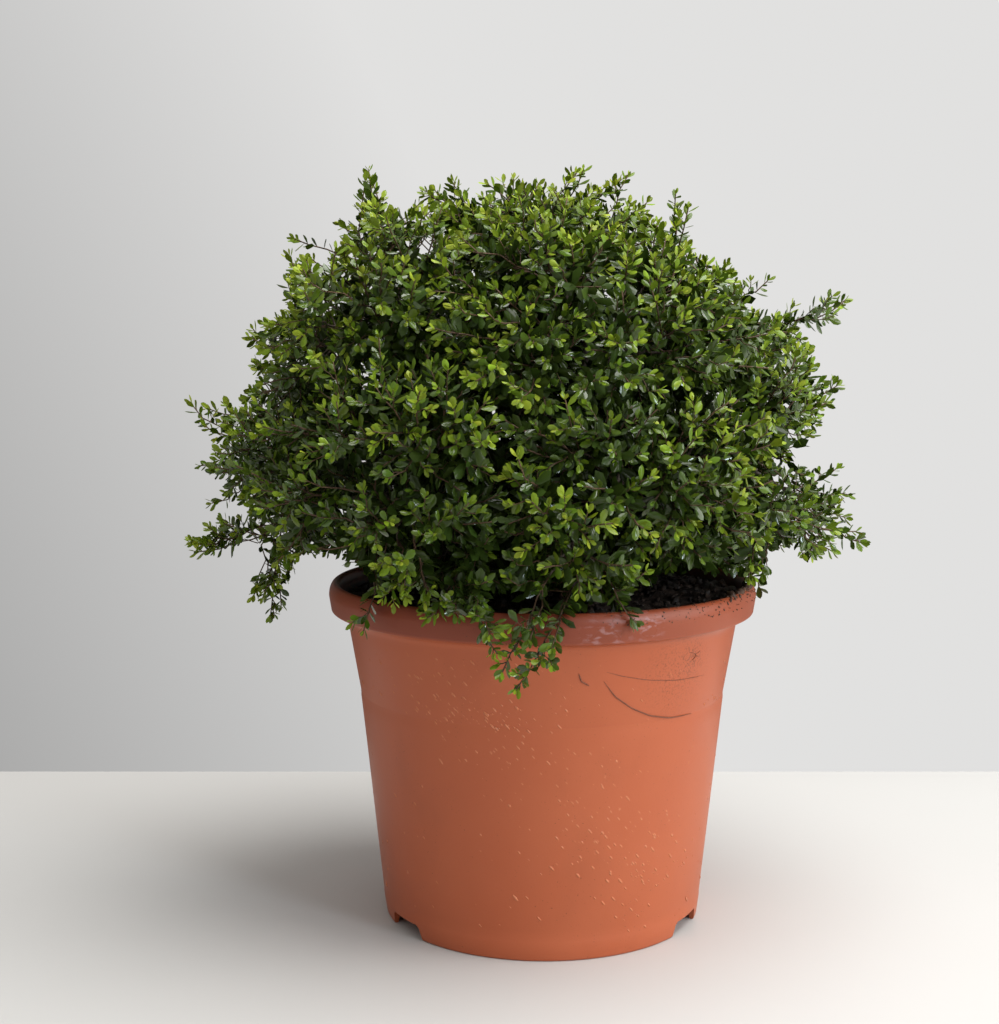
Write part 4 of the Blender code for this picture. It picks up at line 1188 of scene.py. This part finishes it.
def build_crown(masses, rng, twig_finishes, leaf_finishes):
    layers = {ring.layer: Layer([], {age: [] for age in TWIG_SIDES}, []) for ring in RINGS}
    tips = spread_tips(rng)
    middles = np.array([mass.middle for mass in masses])
    owner = np.argmin(norm(tips[:, None] - middles[None], axis=2), axis=1)
    for i, mass in enumerate(masses):
        layer = layers[mass.ring.layer]
        layer.nodes.append("foliage_" + mass.name)
        own = tips[owner == i]
        grower = Grower(own, layer, rng)
        start = mass.bough[-1]
        way = mass.middle - start
        start_way = unit(start - mass.bough[-2]) * norm(way)
        grower.add_twig(curve(start, start_way, mass.middle, way, 2 * TWIG_RINGS), len(own), mass.radii[-1])
        grower.grow(mass.middle, unit(way), np.arange(len(own)))
    for name, layer in layers.items():
        for age, twigs in layer.twigs.items():
            piece(f"twigs_{name}_{age}", twig_finishes[age], twigs, layer.nodes)
        leaves = keep_clear(np.concatenate(layer.leaves), masses)
        for i, tint in enumerate(TINTS):
            template = leaf_template(DEEP_LEAF_STATIONS if tint == "deep" else LEAF_STATIONS)
            chosen = leaves[leaves[:, -1] == i]
            copies = stamp(*template, chosen[:, 0:3], chosen[:, 3:12].reshape(-1, 3, 3))
            piece(f"leaves_{name}_{tint}", leaf_finishes[tint], [copies], layer.nodes)


# Studio and camera


def area_light(name, place, target_height, size, power, colour):
    data = bpy.data.lights.new(name, "AREA")
    data.shape, data.size, data.energy, data.color = "DISK", size, power, colour
    light = linked(name, data)
    light.location = place
    towards = Vector((0.0, 0.0, target_height)) - Vector(place)
    light.rotation_euler = towards.to_track_quat("-Z", "Y").to_euler()
    light.visible_camera = False


def light_room(tree):
    """A soft room. What shows of its wall is brighter than its light, and brighter on the right."""
    nodes = Nodes(tree)
    place = nodes.node("TexCoord").outputs["Generated"]
    glows = []
    for way, span, strengths, colour in ROOM:
        along = nodes.vector("DOT_PRODUCT", "Value", place, way)
        inputs = {"Color": (*colour, 1.0), "Strength": nodes.remap(along, *span, *strengths)}
        glows.append(nodes.node("Background", inputs).outputs[0])
    seen = nodes.node("LightPath").outputs["Is Camera Ray"]
    both = nodes.node("MixShader", {0: seen, 1: glows[0], 2: glows[1]})
    tree.links.new(both.outputs[0], tree.nodes["World Output"].inputs["Surface"])


def build_studio():
    scene = bpy.context.scene
    scene.view_settings.view_transform = "Standard"
    scene.world = bpy.data.worlds.new("studio")
    scene.world.use_nodes = True
    light_room(scene.world.node_tree)

    mesh = bpy.data.meshes.new("floor")
    corners = ((-1, -FLOOR_SIZE), (1, -FLOOR_SIZE), (1, FLOOR_BACK), (-1, FLOOR_BACK))
    mesh.from_pydata([(x * FLOOR_SIZE, y, 0.0) for x, y in corners], [], [(0, 1, 2, 3)])
    middle, dark, light = (0.59, 0.58, 0.56), (0.57, 0.56, 0.54), (0.61, 0.60, 0.58)
    mesh.materials.append(mottled("pale_floor", middle, 0.6, 3.0, dark, light, Specular_IOR_Level=0.2))
    floor = linked("floor", mesh)
    for light in LIGHTS:
        area_light(*light)


def build_camera():
    data = bpy.data.cameras.new("camera")
    camera = linked("camera", data)
    camera.location = (CAMERA_ASIDE, -CAMERA_BACK, CAMERA_HEIGHT)
    camera.rotation_euler = (math.pi / 2 - CAMERA_PITCH, 0, 0)
    data.sensor_width = SENSOR
    data.lens = FOCAL_PIXELS * SENSOR / IMAGE_HEIGHT
    data.shift_y = (PRINCIPAL_ROW - IMAGE_HEIGHT / 2) / IMAGE_HEIGHT
    bpy.context.scene.camera = camera


def main():
    rng = np.random.default_rng(SEED)
    build_camera()
    build_studio()
    build_pot(pot_finish())
    moist = soil_finish("moist_soil", (0.014, 0.008, 0.005), (0.048, 0.026, 0.015), (0.130, 0.080, 0.048))
    dry = soil_finish("drying_soil", (0.050, 0.024, 0.013), (0.125, 0.060, 0.032), (0.200, 0.120, 0.075))
    build_soil(rng, moist)
    build_rim_crumbs(rng, dry)
    # The drops are opaque and paler than the pot: their colour paints in the highlights of the light that
    # they catch.
    dull, drop_glint_tone = (0.48, 0.135, 0.055), (0.61, 0.22, 0.11)
    build_drops(rng, mottled("water_drops", (0.60, 0.22, 0.10), 0.2, 300.0, dull, drop_glint_tone, 2.0, IOR=1.33))
    dark, brown = (0.110, 0.034, 0.016), (0.300, 0.095, 0.045)
    build_threads(rng, mottled("root_threads", (0.100, 0.034, 0.018), 0.7, 500.0, dark, brown))
    masses = [Mass(ring, index) for ring in RINGS for index in range(ring.count)]
    build_limbs(masses, bark_finish())
    twig_finishes = {
        "old": twig_finish("old_twigs", (0.075, 0.052, 0.036), (0.150, 0.120, 0.090)),
        "young": twig_finish("young_twigs", (0.070, 0.034, 0.017), (0.140, 0.080, 0.036)),
    }
    leaf_finishes = {tint: leaf_finish(tint + "_leaves", *look) for tint, look in TINTS.items()}
    build_crown(masses, rng, twig_finishes, leaf_finishes)


main()
